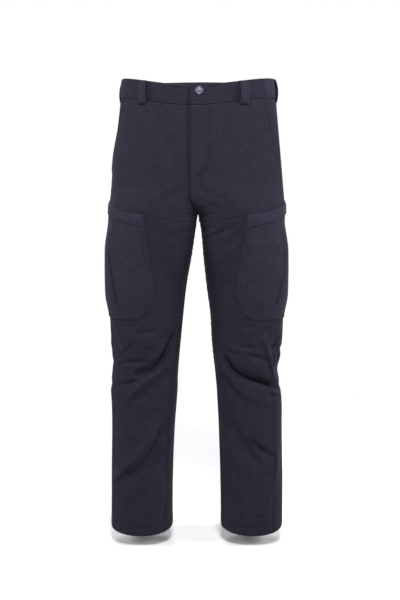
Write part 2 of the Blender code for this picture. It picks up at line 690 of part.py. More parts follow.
def belt_loop(name, side, top, bottom):
    """Folded strip sewn down at both ends, standing off the waistband between them."""
    u, v = np.meshgrid(np.linspace(-0.5, 0.5, 3), np.linspace(0, 1, LOOP_ROWS_DOWN))
    z = rim(along(side, np.array(top), np.array(BAND_MIDDLE))) - LOOP_DROP - v * LOOP_LENGTH
    round_ = along(side, top + (bottom - top) * v + u * LOOP_WIDTH, z)
    lift = OVER_LEG + LOOP_WALL + LOOP_STAND * np.sin(np.pi * v) ** LOOP_BOW
    return panel("loop_" + name, side, round_, z, loop_material, lift, LOOP_WALL)


def back_loop():
    """Centre back belt loop, across the seat seam."""
    v = np.linspace(0, 1, LOOP_ROWS_DOWN)
    z = rim(2.0) - LOOP_DROP - v * LOOP_LENGTH
    bow = np.sin(np.pi * v) ** LOOP_BOW
    grids = []
    for base in (OVER_LEG + LOOP_WALL, OVER_LEG):
        columns = []
        for side, across in ((-1, LOOP_WIDTH / 2), (-1, LOOP_WIDTH / 4), (1, LOOP_WIDTH / 4), (1, LOOP_WIDTH / 2)):
            round_ = 2 - across / girths(side, z)[1]
            columns.append(skin(side, round_, z) + outward(side, round_, z) * (base + LOOP_STAND * bow)[:, None])
        grids.append(np.stack(columns, 1))
    return wall("loop_back", grids[0], grids[1], loop_material)


def button():
    """Plain metal tack button on the tab, a shallow dome with a raised rim."""
    z = np.array(BUTTON_LEVEL)
    place = along(1, np.array(BUTTON_FROM_SIDE), z)
    centre, normal = skin(1, place, z), outward(1, place, z)
    shape = bmesh.new()
    across = np.cross((0.0, 0.0, 1.0), normal)
    across /= np.linalg.norm(across)
    up = np.cross(normal, across)
    rings = []
    for radius, height in BUTTON_PROFILE:
        base = centre + normal * (BUTTON_OFF + height * BUTTON_HEIGHT)
        if radius == 0.0:
            rings.append([shape.verts.new(base * MM)])
            continue
        turn = np.linspace(0, 2 * np.pi, BUTTON_SIDES, endpoint=False)
        ring = [base + BUTTON_RADIUS * radius * (across * np.cos(a) + up * np.sin(a)) for a in turn]
        rings.append([shape.verts.new(p * MM) for p in ring])
    for low, high in zip(rings, rings[1:]):
        for i in range(BUTTON_SIDES):
            j = (i + 1) % BUTTON_SIDES
            corners = [low[i % len(low)], low[j % len(low)], high[j % len(high)], high[i % len(high)]]
            shape.faces.new(list(dict.fromkeys(corners)))
    bmesh.ops.recalc_face_normals(shape, faces=shape.faces)
    mesh = bpy.data.meshes.new("button")
    shape.to_mesh(mesh)
    shape.free()
    mesh.shade_smooth()
    mesh.set_sharp_from_angle(angle=np.radians(40))
    return add_object("button", mesh, material("button_metal", METAL_COLOUR, 0.32, 1.0))


cloth_material = material("trouser_cloth", CLOTH_COLOUR, 0.8)
loop_material = material("loop_cloth", LOOP_COLOUR, 0.8)
for side in (-1, 1):
    front_panel(side)
    hip_pocket(side)
    front_leg(side)
    back(side)
    cargo_pocket(side)
    cargo_flap(side)
    front_band(side)
back_band()
for row in LOOP_ROWS:
    belt_loop(*row)
back_loop()
button()
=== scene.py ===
import math

import bmesh
import bpy
import numpy as np
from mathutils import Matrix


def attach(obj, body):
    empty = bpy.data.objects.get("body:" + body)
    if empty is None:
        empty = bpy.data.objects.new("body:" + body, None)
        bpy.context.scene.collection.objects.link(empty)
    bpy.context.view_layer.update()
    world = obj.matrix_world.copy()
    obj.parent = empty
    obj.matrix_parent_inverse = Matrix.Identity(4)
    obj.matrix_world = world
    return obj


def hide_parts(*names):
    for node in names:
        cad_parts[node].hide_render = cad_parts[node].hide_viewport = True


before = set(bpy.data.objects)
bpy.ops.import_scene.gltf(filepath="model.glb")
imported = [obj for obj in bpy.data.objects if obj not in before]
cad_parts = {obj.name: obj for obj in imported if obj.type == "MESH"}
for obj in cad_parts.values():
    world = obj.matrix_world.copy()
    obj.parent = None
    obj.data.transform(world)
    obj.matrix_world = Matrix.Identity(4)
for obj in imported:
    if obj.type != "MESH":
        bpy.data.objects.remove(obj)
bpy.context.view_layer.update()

# Front legs. Each is one length of stretch woven cloth from the thigh seam to a turned-up hem, sewn to
# the back along the inseam and the outseam. The knees carry deep creases where the leg has been bent.
MM = 0.001
WALL = 1.6
SEAM = 0.03
HEM_WALL = 2.6
HEM_DEPTH = 24.0
CROTCH = -306.0
FRONT_CURVE_START = -225.0
SEAT_CURVE_START = -150.0
THIGH_SEAM_LOW = -326.0
HEM_SIDE = -1044.0
HEM_FRONT_DROP = 12.0
HEM_BACK_LIFT = 4.0
ROUNDNESS = 2.2
INNER_SQUARENESS = 2.2
SQUARER_BETWEEN = (225, 300, 330, 480)
FRONT_SPLIT = (2.1, 1.75)
SEAT_SPLIT = (1.3, 1.5)
ARC_SAMPLES = 48
STEP = 3.2

# Sizes are in millimetres. Places are (round, height): round is 0 at the centre front or the inseam,
# 1 at the side and 2 at the back; distances along the cloth are counted from the side.
FORM_COLUMNS = ("z", "right", "left", "gap_right", "gap_left", "front", "side", "back")
FORM_ROWS = (
    (20, 174.0, 173.5, 0.2, 0.2, -98, 4, 111),
    (-44, 178.0, 178.5, 0.2, 0.2, -104, 4, 117),
    (-110, 186.0, 184.5, 0.2, 0.2, -110, 4, 131),
    (-180, 197.0, 191.0, 0.2, 0.2, -113, 4, 143),
    (-235, 200.5, 196.0, 0.2, 0.2, -113, 4, 147),
    (-280, 204.5, 199.5, 0.2, 0.2, -111, 4, 142),
    (-306, 206.0, 199.0, 0.2, 0.2, -109, 3, 134),
    (-312, 206.3, 198.8, 2.0, 2.0, -108, 3, 132),
    (-325, 207.0, 198.5, 3.8, 3.8, -107, 3, 129),
    (-345, 208.0, 199.5, 6.8, 7.0, -106, 2, 124),
    (-400, 209.0, 201.0, 15.0, 12.0, -102, 0, 113),
    (-470, 209.0, 201.0, 27.0, 19.5, -96, -2, 103),
    (-540, 206.5, 198.5, 35.0, 28.5, -90, -4, 92),
    (-600, 204.0, 196.5, 41.0, 32.0, -84, -4, 84),
    (-640, 201.5, 192.0, 44.5, 35.5, -82, -4, 82),
    (-666, 201.5, 186.0, 46.5, 38.5, -80, -3, 80),
    (-690, 204.0, 189.5, 48.0, 41.0, -78, -2, 79),
    (-716, 206.5, 194.0, 48.5, 43.5, -77, 0, 79),
    (-745, 205.0, 197.0, 50.5, 45.0, -75, 0, 80),
    (-800, 204.5, 198.0, 55.0, 48.0, -73, 2, 80),
    (-870, 206.0, 199.5, 58.5, 50.5, -70, 3, 80),
    (-960, 207.0, 201.0, 61.0, 53.0, -67, 4, 78),
    (-1060, 208.5, 200.5, 61.0, 54.0, -64, 5, 75),
)
SEAM_COLUMNS = ("z", "centre_front", "centre_back", "out_right", "out_left", "in_right", "in_left")
SEAM_ROWS = (
    (0, -16.0, 13.0, 14.0, -16.0, 0.0, 0.0),
    (-110, -16.0, 14.0, 4.0, -27.0, 0.0, 0.0),
    (-222, -16.0, 13.0, -11.0, -39.0, 0.0, 0.0),
    (-250, -18.0, 11.0, -15.0, -43.0, 0.0, 0.0),
    (-268, -19.0, 8.0, -18.0, -46.0, 0.0, 0.0),
    (-284, -12.5, 5.0, -20.0, -48.0, 0.0, 0.0),
    (-298, -3.0, 1.0, -21.0, -49.0, 0.0, 0.0),
    (-306, 0.0, 0.0, -22.0, -50.0, 0.0, 0.0),
    (-420, 0.0, 0.0, -28.0, -53.0, 14.0, 5.0),
    (-592, 0.0, 0.0, -34.0, -57.0, 31.0, 12.0),
    (-721, 0.0, 0.0, -36.0, -60.0, 45.0, 20.0),
    (-916, 0.0, 0.0, -38.0, -63.0, 50.0, 25.0),
    (-1060, 0.0, 0.0, -38.0, -60.0, 50.0, 25.0),
)
YOKE_COLUMNS = ("round", "z")
YOKE_ROWS = ((-0.1, -326), (0.0, -326), (0.2, -325), (0.4, -320), (0.55, -310), (0.65, -302), (0.8, -290),
             (1.0, -276), (1.3, -262))

# Creases and ridges, each through three places (distance along the cloth from the side, minus to the
# front; height). Height is minus for a crease; up and down are its softness above and below.
FOLD_COLUMNS = ("side", "g1", "z1", "g2", "z2", "g3", "z3", "height", "up", "down")
FOLD_ROWS = (
    ("right", -210, -578, -166, -644, -100, -680, -20.0, 13.0, 7.0),
    ("right", -214, -556, -174, -616, -114, -658, 3.5, 7.0, 4.0),
    ("right", -200, -618, -152, -664, -86, -684, 4.0, 5.0, 8.0),
    ("right", -146, -666, -100, -690, -36, -702, -6.5, 5.5, 4.5),
    ("right", -60, -650, -100, -643, -138, -643, -5.0, 4.5, 5.5),
    ("right", -66, -628, -90, -614, -105, -598, -4.0, 4.5, 5.5),
    ("right", -112, -580, -135, -573, -160, -574, -4.0, 4.5, 7.0),
    ("right", -196, -668, -150, -704, -96, -740, -7.5, 12.0, 10.0),
    ("right", -142, -672, -118, -700, -90, -730, 5.0, 8.0, 6.0),
    ("right", -40, -548, -55, -562, -72, -585, 4.0, 8.0, 9.0),
    ("right", -160, -790, -120, -855, -45, -930, 10.5, 16.0, 5.5),
    ("right", -172, -792, -135, -862, -76, -914, -11.0, 7.0, 18.0),
    ("right", -186, -850, -163, -877, -134, -897, -7.0, 6.0, 11.0),
    ("right", -40, -855, -46, -875, -58, -898, 3.0, 8.0, 8.0),
    ("right", -184, -905, -168, -955, -146, -1015, 7.5, 12.0, 14.0),
    ("right", 40, -640, 105, -672, 190, -650, -7.0, 9.0, 12.0),
    ("right", 60, -700, 125, -712, 205, -690, -5.0, 10.0, 13.0),
    ("right", 90, -600, 150, -622, 215, -600, -5.0, 10.0, 13.0),
    ("right", 70, -355, 150, -375, 270, -350, -4.0, 13.0, 18.0),
    ("right", 60, -850, 110, -905, 170, -940, -5.0, 14.0, 16.0),
    ("left", -188, -634, -134, -677, -18, -713, -23.0, 11.0, 6.0),
    ("left", -226, -572, -206, -606, -176, -640, -4.0, 9.0, 9.0),
    ("left", -232, -600, -196, -648, -150, -690, 3.0, 4.5, 6.0),
    ("left", -236, -606, -165, -690, -70, -748, 4.0, 9.0, 12.0),
    ("left", -78, -718, -54, -726, -20, -723, -6.0, 4.2, 6.0),
    ("left", -152, -606, -132, -609, -112, -611, -4.0, 4.2, 5.0),
    ("left", -128, -627, -96, -634, -70, -646, -5.0, 4.4, 5.5),
    ("left", -182, -616, -160, -624, -134, -630, -3.4, 4.4, 6.0),
    ("left", -98, -584, -78, -626, -44, -690, 6.5, 5.0, 5.0),
    ("left", -40, -584, -58, -604, -70, -616, -8.5, 5.0, 6.0),
    ("left", -56, -606, -40, -630, -26, -656, -6.5, 6.0, 6.0),
    ("left", -89, -558, -86, -574, -80, -590, -3.0, 7.0, 7.0),
    ("left", -180, -672, -160, -708, -138, -745, -8.5, 8.0, 15.0),
    ("left", -166, -785, -138, -834, -92, -890, -10.0, 7.0, 16.0),
    ("left", -128, -822, -95, -850, -62, -868, -8.0, 6.0, 12.0),
    ("left", -56, -850, -68, -925, -98, -1012, 7.5, 14.0, 12.0),
    ("left", -186, -332, -212, -345, -250, -362, -4.5, 3.8, 4.8),
    ("left", -230, -334, -254, -340, -282, -344, -2.6, 3.8, 4.8),
    ("left", 40, -650, 110, -668, 195, -640, -7.0, 9.0, 12.0),
    ("left", 55, -705, 130, -718, 200, -700, -5.0, 10.0, 13.0),
    ("left", 80, -605, 150, -626, 210, -610, -5.0, 10.0, 13.0),
    ("left", 70, -350, 150, -372, 265, -352, -4.0, 13.0, 18.0),
    ("left", 50, -840, 105, -890, 175, -935, -5.0, 14.0, 16.0),
    ("right", -77, -657, -86, -661, -95, -665, -2.0, 4.0, 6.0),
    ("right", -118, -556, -95, -560, -70, -561, -1.8, 4.0, 7.0),
    ("right", -150, -548, -165, -575, -188, -592, -1.5, 8.0, 10.0),
    ("right", -170, -604, -122, -596, -66, -606, 5.0, 30.0, 26.0),
    ("right", -128, -610, -150, -618, -168, -634, -1.8, 7.0, 9.0),
    ("right", -60, -730, -92, -752, -130, -765, -1.8, 9.0, 12.0),
    ("right", -70, -800, -92, -812, -120, -818, 1.6, 12.0, 12.0),
    ("left", -150, -556, -128, -561, -104, -562, -1.8, 4.0, 7.0),
    ("left", -212, -560, -190, -585, -160, -598, -1.6, 8.0, 10.0),
    ("left", -110, -648, -92, -655, -70, -674, 2.0, 7.0, 7.0),
    ("left", -100, -735, -78, -752, -60, -775, -2.2, 9.0, 11.0),
    ("left", -205, -660, -190, -690, -178, -735, 2.0, 10.0, 12.0),
    ("left", -200, -800, -175, -850, -150, -900, 2.0, 14.0, 14.0),
    ("left", -150, -905, -128, -950, -122, -1000, -1.8, 14.0, 16.0),
    ("right", -120, -920, -105, -965, -100, -1010, -1.8, 14.0, 16.0),
    ("left", -262, -236, -236, -262, -196, -276, -2.6, 9.0, 12.0),
    ("left", -266, -268, -240, -288, -200, -298, -2.2, 8.0, 11.0),
    ("right", -240, -240, -214, -266, -176, -282, -2.2, 9.0, 12.0),
    ("left", -236, -282, -180, -262, -120, -256, 1.6, 16.0, 16.0),
    ("right", -196, -98, -150, -104, -100, -98, -1.4, 12.0, 14.0),
    ("left", -180, -106, -130, -112, -86, -104, -1.4, 12.0, 14.0),
    ("right", 40, -90, 110, -104, 200, -84, -1.6, 14.0, 18.0),
    ("left", 40, -90, 110, -104, 200, -84, -1.6, 14.0, 18.0),
    ("right", -34, -640, -8, -650, 26, -644, -2.0, 7.0, 9.0),
    ("right", -30, -700, -4, -704, 30, -712, -2.2, 8.0, 10.0),
    ("right", -30, -612, 0, -606, 34, -612, 1.2, 9.0, 9.0),
    ("left", -48, -608, -22, -618, 14, -620, -3.0, 7.0, 9.0),
    ("left", -44, -690, -16, -704, 20, -706, -2.0, 7.0, 9.0),
    ("left", -150, -330, -180, -352, -206, -388, -2.6, 7.0, 10.0),
    ("right", -262, -346, -232, -352, -200, -368, -2.4, 6.0, 9.0),
    ("right", -270, -366, -246, -378, -224, -400, -2.4, 7.0, 10.0),
    ("right", -176, -392, -196, -430, -204, -476, -1.6, 12.0, 14.0),
    ("left", -192, -440, -212, -480, -218, -524, -1.6, 12.0, 14.0),
    ("right", -196, -232, -228, -262, -262, -292, -2.6, 8.0, 11.0),
    ("left", -168, -180, -130, -196, -96, -190, -1.5, 12.0, 14.0),
    ("left", -64, -60, -26, -66, 14, -62, 4.0, 8.0, 9.0),
    ("left", -52, -62, -38, -82, -22, -104, 4.0, 5.0, 5.0),
    ("left", -36, -58, -28, -74, -12, -90, -3.5, 4.0, 5.0),
    ("left", -70, -60, -58, -84, -46, -118, -2.5, 4.0, 5.0),
    ("right", -176, -176, -128, -192, -84, -184, -1.5, 12.0, 14.0),
)
FOLD_STEPS = 10
CARGO_COLUMNS = ("z", "right", "left")
CARGO_ROWS = ((-280, -152, -158), (-337, -155, -162), (-490, -167, -175), (-534, -136, -143),
              (-548, -118, -124))
CARGO_BACK = 62.0
CARGO_BOTTOM = {"right": -545.0, "left": -547.0}


def column(columns, rows, name):
    rows = sorted(rows)
    place = columns.index(name)
    return np.array([row[0] for row in rows], float), np.array([row[place] for row in rows], float)


def straight(columns, rows, name, at):
    return np.interp(at, *column(columns, rows, name))


def seam(name, z):
    return straight(SEAM_COLUMNS, SEAM_ROWS, name, z)


def smooth(columns, rows, name, at):
    """A column's value on a smooth curve through its rows."""
    knots, values = column(columns, rows, name)
    at = np.clip(at, knots[0], knots[-1])
    slopes = np.gradient(values, knots)
    place = np.clip(np.searchsorted(knots, at) - 1, 0, len(knots) - 2)
    span = knots[place + 1] - knots[place]
    t = (at - knots[place]) / span
    return (
        (1 + 2 * t) * (1 - t) ** 2 * values[place]
        + t * (1 - t) ** 2 * span * slopes[place]
        + t * t * (3 - 2 * t) * values[place + 1]
        + t * t * (t - 1) * span * slopes[place + 1]
    )


def ease(value, low, high):
    t = np.clip((value - low) / (high - low), 0, 1)
    return t * t * (3 - 2 * t)


def side_name(side):
    return "left" if side > 0 else "right"


def outline(angle, wide, deep, middle, side_y, inner_roundness):
    """A superellipse; its inner part, where the angle is below 0, may be squarer."""
    sine, cosine = np.sin(angle), np.cos(angle)
    power = 2 / np.where(sine < 0, inner_roundness, ROUNDNESS)
    return middle + wide * np.sign(sine) * np.abs(sine) ** power, side_y + deep * np.abs(cosine) ** power


def even_turn(share, power):
    """A share from 0 to 1, slowed at both ends where a squarer outline turns fastest."""
    share = np.clip(share, 0.0, 1.0)
    return share**power / (share**power + (1 - share) ** power)


def angle_at(first, inner_roundness, share):
    """Angle at a share of the way round from the first angle, evenly spread along the outline."""
    low = -even_turn(-first / (np.pi / 2), 2 / inner_roundness)
    place = low + (1 - low) * share
    return np.pi / 2 * np.where(place < 0, -even_turn(-place, inner_roundness / 2), place)


def quarter(side, round_, z):
    """Point of one half of the worn form, and the length of the outline there."""
    round_, z = np.broadcast_arrays(np.asarray(round_, float), np.asarray(z, float))
    name = side_name(side)
    back = round_ > 1
    columns = (name, "gap_" + name, "side", "front", "back")
    outer, gap, side_y, front_y, back_y = (smooth(FORM_COLUMNS, FORM_ROWS, wanted, z) for wanted in columns)
    deep = np.where(back, back_y, front_y) - side_y
    centre = np.where(back, seam("centre_back", z), seam("centre_front", z)) * side
    inner = np.where(z > CROTCH, centre + 0.03, gap)
    start = np.where(back, SEAT_CURVE_START, FRONT_CURVE_START)
    share = np.clip((start - z) / (start - CROTCH), 0, 1)
    front_split, seat_split = (1 - (1 - share**early) ** late for early, late in (FRONT_SPLIT, SEAT_SPLIT))
    split = np.where(back, seat_split, front_split)
    middle = inner + (outer - inner) * split / (1 + split)
    wide = (outer - inner) / (1 + split)
    squarer = INNER_SQUARENESS * ease(-z, *SQUARER_BETWEEN[:2]) * (1 - ease(-z, *SQUARER_BETWEEN[2:]))
    inner_roundness = ROUNDNESS + np.where(back, 0.0, squarer)
    first = -np.arcsin(split ** (inner_roundness / 2))
    turns = np.linspace(0, 1, ARC_SAMPLES)
    angle = angle_at(first[..., None], inner_roundness[..., None], turns)
    x, y = outline(angle, *(value[..., None] for value in (wide, deep, middle, side_y, inner_roundness)))
    step = np.hypot(np.diff(x), np.diff(y))
    run = np.concatenate([np.zeros(step.shape[:-1] + (1,)), np.cumsum(step, -1)], -1)
    girth = run[..., -1]
    want = (np.where(back, 2 - round_, round_) * girth).ravel()
    run = run.reshape(-1, ARC_SAMPLES)
    i = np.clip((run < want[:, None]).sum(1) - 1, 0, ARC_SAMPLES - 2)
    n = np.arange(len(i))
    t = (want - run[n, i]) / (run[n, i + 1] - run[n, i])
    turned = (turns[i] + t * (turns[i + 1] - turns[i])).reshape(z.shape)
    angle = angle_at(first, inner_roundness, turned)
    x, y = outline(angle, wide, deep, middle, side_y, inner_roundness)
    return np.stack([side * x, y, z + 0 * x], -1), girth


def girths(side, z):
    """Lengths of the front and the back outline of one half at a height."""
    z = np.asarray(z, float)
    levels = np.arange(-1080.0, 40.0, 2.0)
    if side not in girth_tables:
        front = quarter(side, np.zeros_like(levels), levels)[1]
        girth_tables[side] = front, quarter(side, np.full_like(levels, 2.0), levels)[1]
    return tuple(np.interp(z, levels, lengths) for lengths in girth_tables[side])


girth_tables = {}


def skin(side, round_, z):
    """The smooth form, run on past the centre front below 0 and past the inseam above 2."""
    round_, z = np.broadcast_arrays(np.asarray(round_, float), np.asarray(z, float))
    point = quarter(side, np.clip(round_, 0, 2), z)[0]
    if (round_ < 0).any():
        past = quarter(-side, np.clip(-round_, 0, 1) * girths(side, z)[0] / girths(-side, z)[0], z)[0]
        point = np.where((round_ < 0)[..., None], past, point)
    if (round_ > 2).any():
        front, back = girths(side, z)
        past = quarter(side, np.clip((round_ - 2) * back / front, 0, 1), z)[0]
        point = np.where((round_ > 2)[..., None], past, point)
    return point


def outward(side, round_, z):
    """Direction straight out of the smooth form."""
    low, high = np.where(round_ < 0, -1.0, 0.0), np.where(round_ > 2, 2.5, 2.0)
    across = skin(side, np.minimum(round_ + 0.006, high), z) - skin(side, np.maximum(round_ - 0.006, low), z)
    down = skin(side, round_, z - 0.8) - skin(side, round_, z + 0.8)
    normal = np.cross(across, down) * -side
    return normal / np.linalg.norm(normal, axis=-1, keepdims=True)


def along(side, distance, z):
    """Place round the form at a distance along the cloth from the side."""
    front, back = girths(side, z + 0 * distance)
    return 1 + distance / np.where(distance > 0, back, front)


def reach(side, round_, z):
    """Distance along the cloth from the side, minus to the front."""
    front, back = girths(side, z)
    return np.where(round_ > 1, (round_ - 1) * back, (round_ - 1) * front)


def folds(side, g, z):
    """Height that the creases and ridges of one side give the cloth at a place."""
    total = np.zeros_like(z)
    for row in FOLD_ROWS:
        fold = dict(zip(FOLD_COLUMNS, row))
        if fold["side"] != side_name(side):
            continue
        near = 45 + abs(fold["g1"] - fold["g3"])
        near_z = near + abs(fold["z1"] - fold["z3"])
        pick = (np.abs(g - fold["g2"]) < near) & (np.abs(z - fold["z2"]) < near_z)
        if not pick.any():
            continue
        at_g, at_z = g[pick], z[pick]
        t = np.linspace(0, 1, FOLD_STEPS + 1)
        path_g = (1 - t) ** 2 * fold["g1"] + t * t * fold["g3"]
        path_g += 2 * t * (1 - t) * (2 * fold["g2"] - (fold["g1"] + fold["g3"]) / 2)
        path_z = (1 - t) ** 2 * fold["z1"] + t * t * fold["z3"]
        path_z += 2 * t * (1 - t) * (2 * fold["z2"] - (fold["z1"] + fold["z3"]) / 2)
        best, place, above = np.full(at_z.shape, 1e9), np.zeros(at_z.shape), np.zeros(at_z.shape, bool)
        for i in range(FOLD_STEPS):
            run_g, run_z = path_g[i + 1] - path_g[i], path_z[i + 1] - path_z[i]
            off_g, off_z = at_g - path_g[i], at_z - path_z[i]
            part = np.clip((off_g * run_g + off_z * run_z) / (run_g**2 + run_z**2), 0, 1)
            gap = np.hypot(off_g - part * run_g, off_z - part * run_z)
            nearer = gap < best
            best = np.where(nearer, gap, best)
            place = np.where(nearer, (i + part) / FOLD_STEPS, place)
            turned = (off_z * run_g - off_g * run_z) * (1 if run_g > 0 else -1) > 0
            above = np.where(nearer, turned, above)
        fade = np.sqrt(np.clip(4 * place * (1 - place), 0.0, 1.0)) * 0.9 + 0.1
        width = np.where(above, fold["up"], fold["down"])
        total[pick] += fold["height"] * fade * np.exp(-((best / width) ** 2))
    return total


def under_cargo(side, g, z):
    """1 where the cargo pocket lies on the leg, so that the cloth under it is flat."""
    edge = straight(CARGO_COLUMNS, CARGO_ROWS, side_name(side), z)
    low = CARGO_BOTTOM[side_name(side)]
    near = ease(g, edge - 12, edge - 2) * ease(-g, -CARGO_BACK - 12, -CARGO_BACK - 2)
    return near * ease(z, low - 10, low - 1)


RIPPLES = np.random.default_rng(11).uniform(0, 2 * np.pi, (9, 2))


def off_inseam(side, round_, z):
    """0 on the inseam and 1 away from it, so that the front's and the back's creases meet level there."""
    front, back = girths(side, z)
    inner = seam("in_" + side_name(side), z)
    distance = np.where(round_ > 1, (2 - round_) * back + inner, round_ * front - inner)
    return 1 - (1 - ease(distance, 0.0, 11.0)) * ease(CROTCH - z, 0.0, 25.0)


def handled(g, z):
    """Faint uneven waves that any worn cloth has."""
    total = np.zeros_like(z)
    for i, (phase, turn) in enumerate(RIPPLES):
        long = 150.0 - 13.0 * i
        total += np.sin((g * np.cos(turn) + 0.6 * z * np.sin(turn)) * 2 * np.pi / long + phase) * long / 150.0
    return 0.09 * total


def cloth(side, round_, z, lift=0.0, creased=1.0):
    """Point of the creased cloth, moved out by lift."""
    g = reach(side, round_, z)
    kept = (1 - under_cargo(side, g, z)) * off_inseam(side, round_, z) * creased
    raised = folds(side, g, z) * kept + handled(g, z) + lift
    return skin(side, round_, z) + outward(side, round_, z) * raised[..., None]


def lay(top, bottom, start, end, across, rows, level_after=None):
    """A grid of places between four edges, its rows level beyond a distance from the top and bottom."""
    rows = np.array(rows, float)
    level_after = level_after or rows[0] - rows[-1]
    u, level = np.meshgrid(across, rows)
    near_top = np.clip(1 - (rows[0] - level) / level_after, 0, 1)
    near_bottom = np.clip(1 - (level - rows[-1]) / level_after, 0, 1)
    z = level
    for _ in range(8):
        round_ = start(z) + (end(z) - start(z)) * u
        z = level + (top(round_) - rows[0]) * near_top + (bottom(round_) - rows[-1]) * near_bottom
    return round_, z


def marks(length, near_start, near_end, step=STEP):
    """Places along a length, close together where an edge, a ridge or a row of stitching needs them."""
    between = np.arange(max(near_start) + step, length - max(near_end) - step / 2, step)
    places = list(near_start) + list(between) + [length - d for d in near_end]
    return np.unique(np.round(places, 3))


def seen_edge(distance, shape):
    """Height of an edge's shape at a distance in from it."""
    return np.interp(distance, [row[0] for row in shape], [row[1] for row in shape])


# Shapes of an edge, as distances in from it and heights: rolled under, felled with two rows of stitching
# and hemmed.
ROLLED = ((0.0, -1.8), (0.5, -1.2), (1.2, -0.6), (2.4, -0.05), (4.2, 0.25), (7.5, 0.0), (60.0, 0.0))
FELLED = ((0.0, -1.0), (0.5, -0.3), (1.2, 0.25), (3.0, 0.4), (6.4, 0.3), (7.8, -0.5), (9.2, 0.0), (11.0, 0.0),
          (60.0, 0.0))
HEMMED = ((0.0, -0.8), (0.7, -0.1), (2.0, 0.15), (16.0, 0.25), (19.6, 0.2), (21.0, -0.6), (22.4, 0.0),
          (60.0, 0.0))
HEM_STITCH = 21.0


def spots(shape):
    """The distances from an edge at which its shape turns."""
    return [row[0] for row in shape[:-1]]


def pucker(distance, run, height=0.5):
    """Small gathers that thread draws up beside a seam."""
    wave = np.sin(run * 2 * np.pi / 13.0) + 0.6 * np.sin(run * 2 * np.pi / 21.0 + 1.3)
    return height * wave * np.exp(-((distance / 8.0) ** 2)) * (1 - np.exp(-((distance / 1.5) ** 2)))


def set_inputs(node, values):
    """Gives each input a value, or a link where the value is another node's output."""
    for socket, value in values.items():
        if isinstance(value, bpy.types.NodeSocket):
            node.id_data.links.new(value, node.inputs[socket])
        else:
            node.inputs[socket].default_value = value


def add_node(tree, kind, values, **settings):
    """A new node with its own settings and its inputs' values or links."""
    made = tree.nodes.new("ShaderNode" + kind)
    for name, setting in settings.items():
        setattr(made, name, setting)
    set_inputs(made, values)
    return made


def arithmetic(tree, operation, *values):
    return add_node(tree, "Math", dict(enumerate(values)), operation=operation).outputs[0]


def blend(tree, share, *stops):
    """A colour between two stops, each a place and a colour."""
    made = add_node(tree, "ValToRGB", {"Fac": share})
    for element, (place, colour) in zip(made.color_ramp.elements, stops):
        element.position = place
        element.color = (*colour, 1.0)
    return made.outputs["Color"]


def new_material(name):
    """A new material, its nodes and its shader."""
    made = bpy.data.materials.new(name)
    made.use_nodes = True
    return made, made.node_tree, made.node_tree.nodes["Principled BSDF"]


YARN_PAIR = 0.9
WAVES_IN_SCALE = 3.18
SLUB_STRETCHES = ((45.0, 380.0, 1.0), (330.0, 80.0, 1.0))
DYE_SHARE = 0.4
DARKEST = 0.62
LIGHTEST = 1.42


def cloth_material(name, colour):
    """Fine plain-woven stretch cloth: crossing yarns, a soft bloom and faint uneven dye."""
    made, tree, shader = new_material(name)
    place = add_node(tree, "UVMap", {}, uv_map="cut").outputs["UV"]
    yarns, slubs = [], []
    for direction in ("X", "Y"):
        scale = 1.0 / (YARN_PAIR * MM) / WAVES_IN_SCALE
        values = {"Vector": place, "Scale": scale, "Distortion": 0.6, "Detail": 1.0}
        yarns.append(add_node(tree, "TexWave", values, bands_direction=direction).outputs["Fac"])
    for stretch in SLUB_STRETCHES:
        stretched = add_node(tree, "Mapping", {"Vector": place, "Scale": stretch}).outputs["Vector"]
        values = {"Vector": stretched, "Scale": 1.0, "Detail": 4.0, "Roughness": 0.68}
        slubs.append(add_node(tree, "TexNoise", values).outputs["Fac"])
    crossing = arithmetic(tree, "MAXIMUM", *yarns)
    slub = arithmetic(tree, "ADD", *slubs)
    dye = add_node(tree, "TexNoise", {"Vector": place, "Scale": 40.0, "Detail": 4.0}).outputs["Fac"]
    uneven = arithmetic(tree, "MULTIPLY", arithmetic(tree, "MULTIPLY_ADD", dye, DYE_SHARE, slub), 0.5)
    tone = blend(tree, uneven, (0.42, [c * DARKEST for c in colour]), (0.78, [c * LIGHTEST for c in colour]))
    relief = arithmetic(tree, "MULTIPLY_ADD", slub, 0.5, crossing)
    bump = add_node(tree, "Bump", {"Height": relief, "Strength": 0.35, "Distance": 0.00022})
    set_inputs(shader, {
        "Base Color": tone,
        "Normal": bump.outputs["Normal"],
        "Roughness": 0.86,
        "Specular IOR Level": 0.05,
        "Sheen Weight": 0.03,
        "Sheen Roughness": 0.42,
        "Sheen Tint": (0.78, 0.76, 1.0, 1.0),
    })
    return made


CLOTH_COLOUR = (0.0086, 0.0079, 0.0131)


# A copy of the one cloth colour made lighter by a share: painted light, for pieces that hang higher, lie at
# the sides or stand proud and so catch more of the lamps.
def painted_lighter(share):
    return tuple(c * share for c in CLOTH_COLOUR)


leg_cloth = cloth_material("leg_cloth", CLOTH_COLOUR)


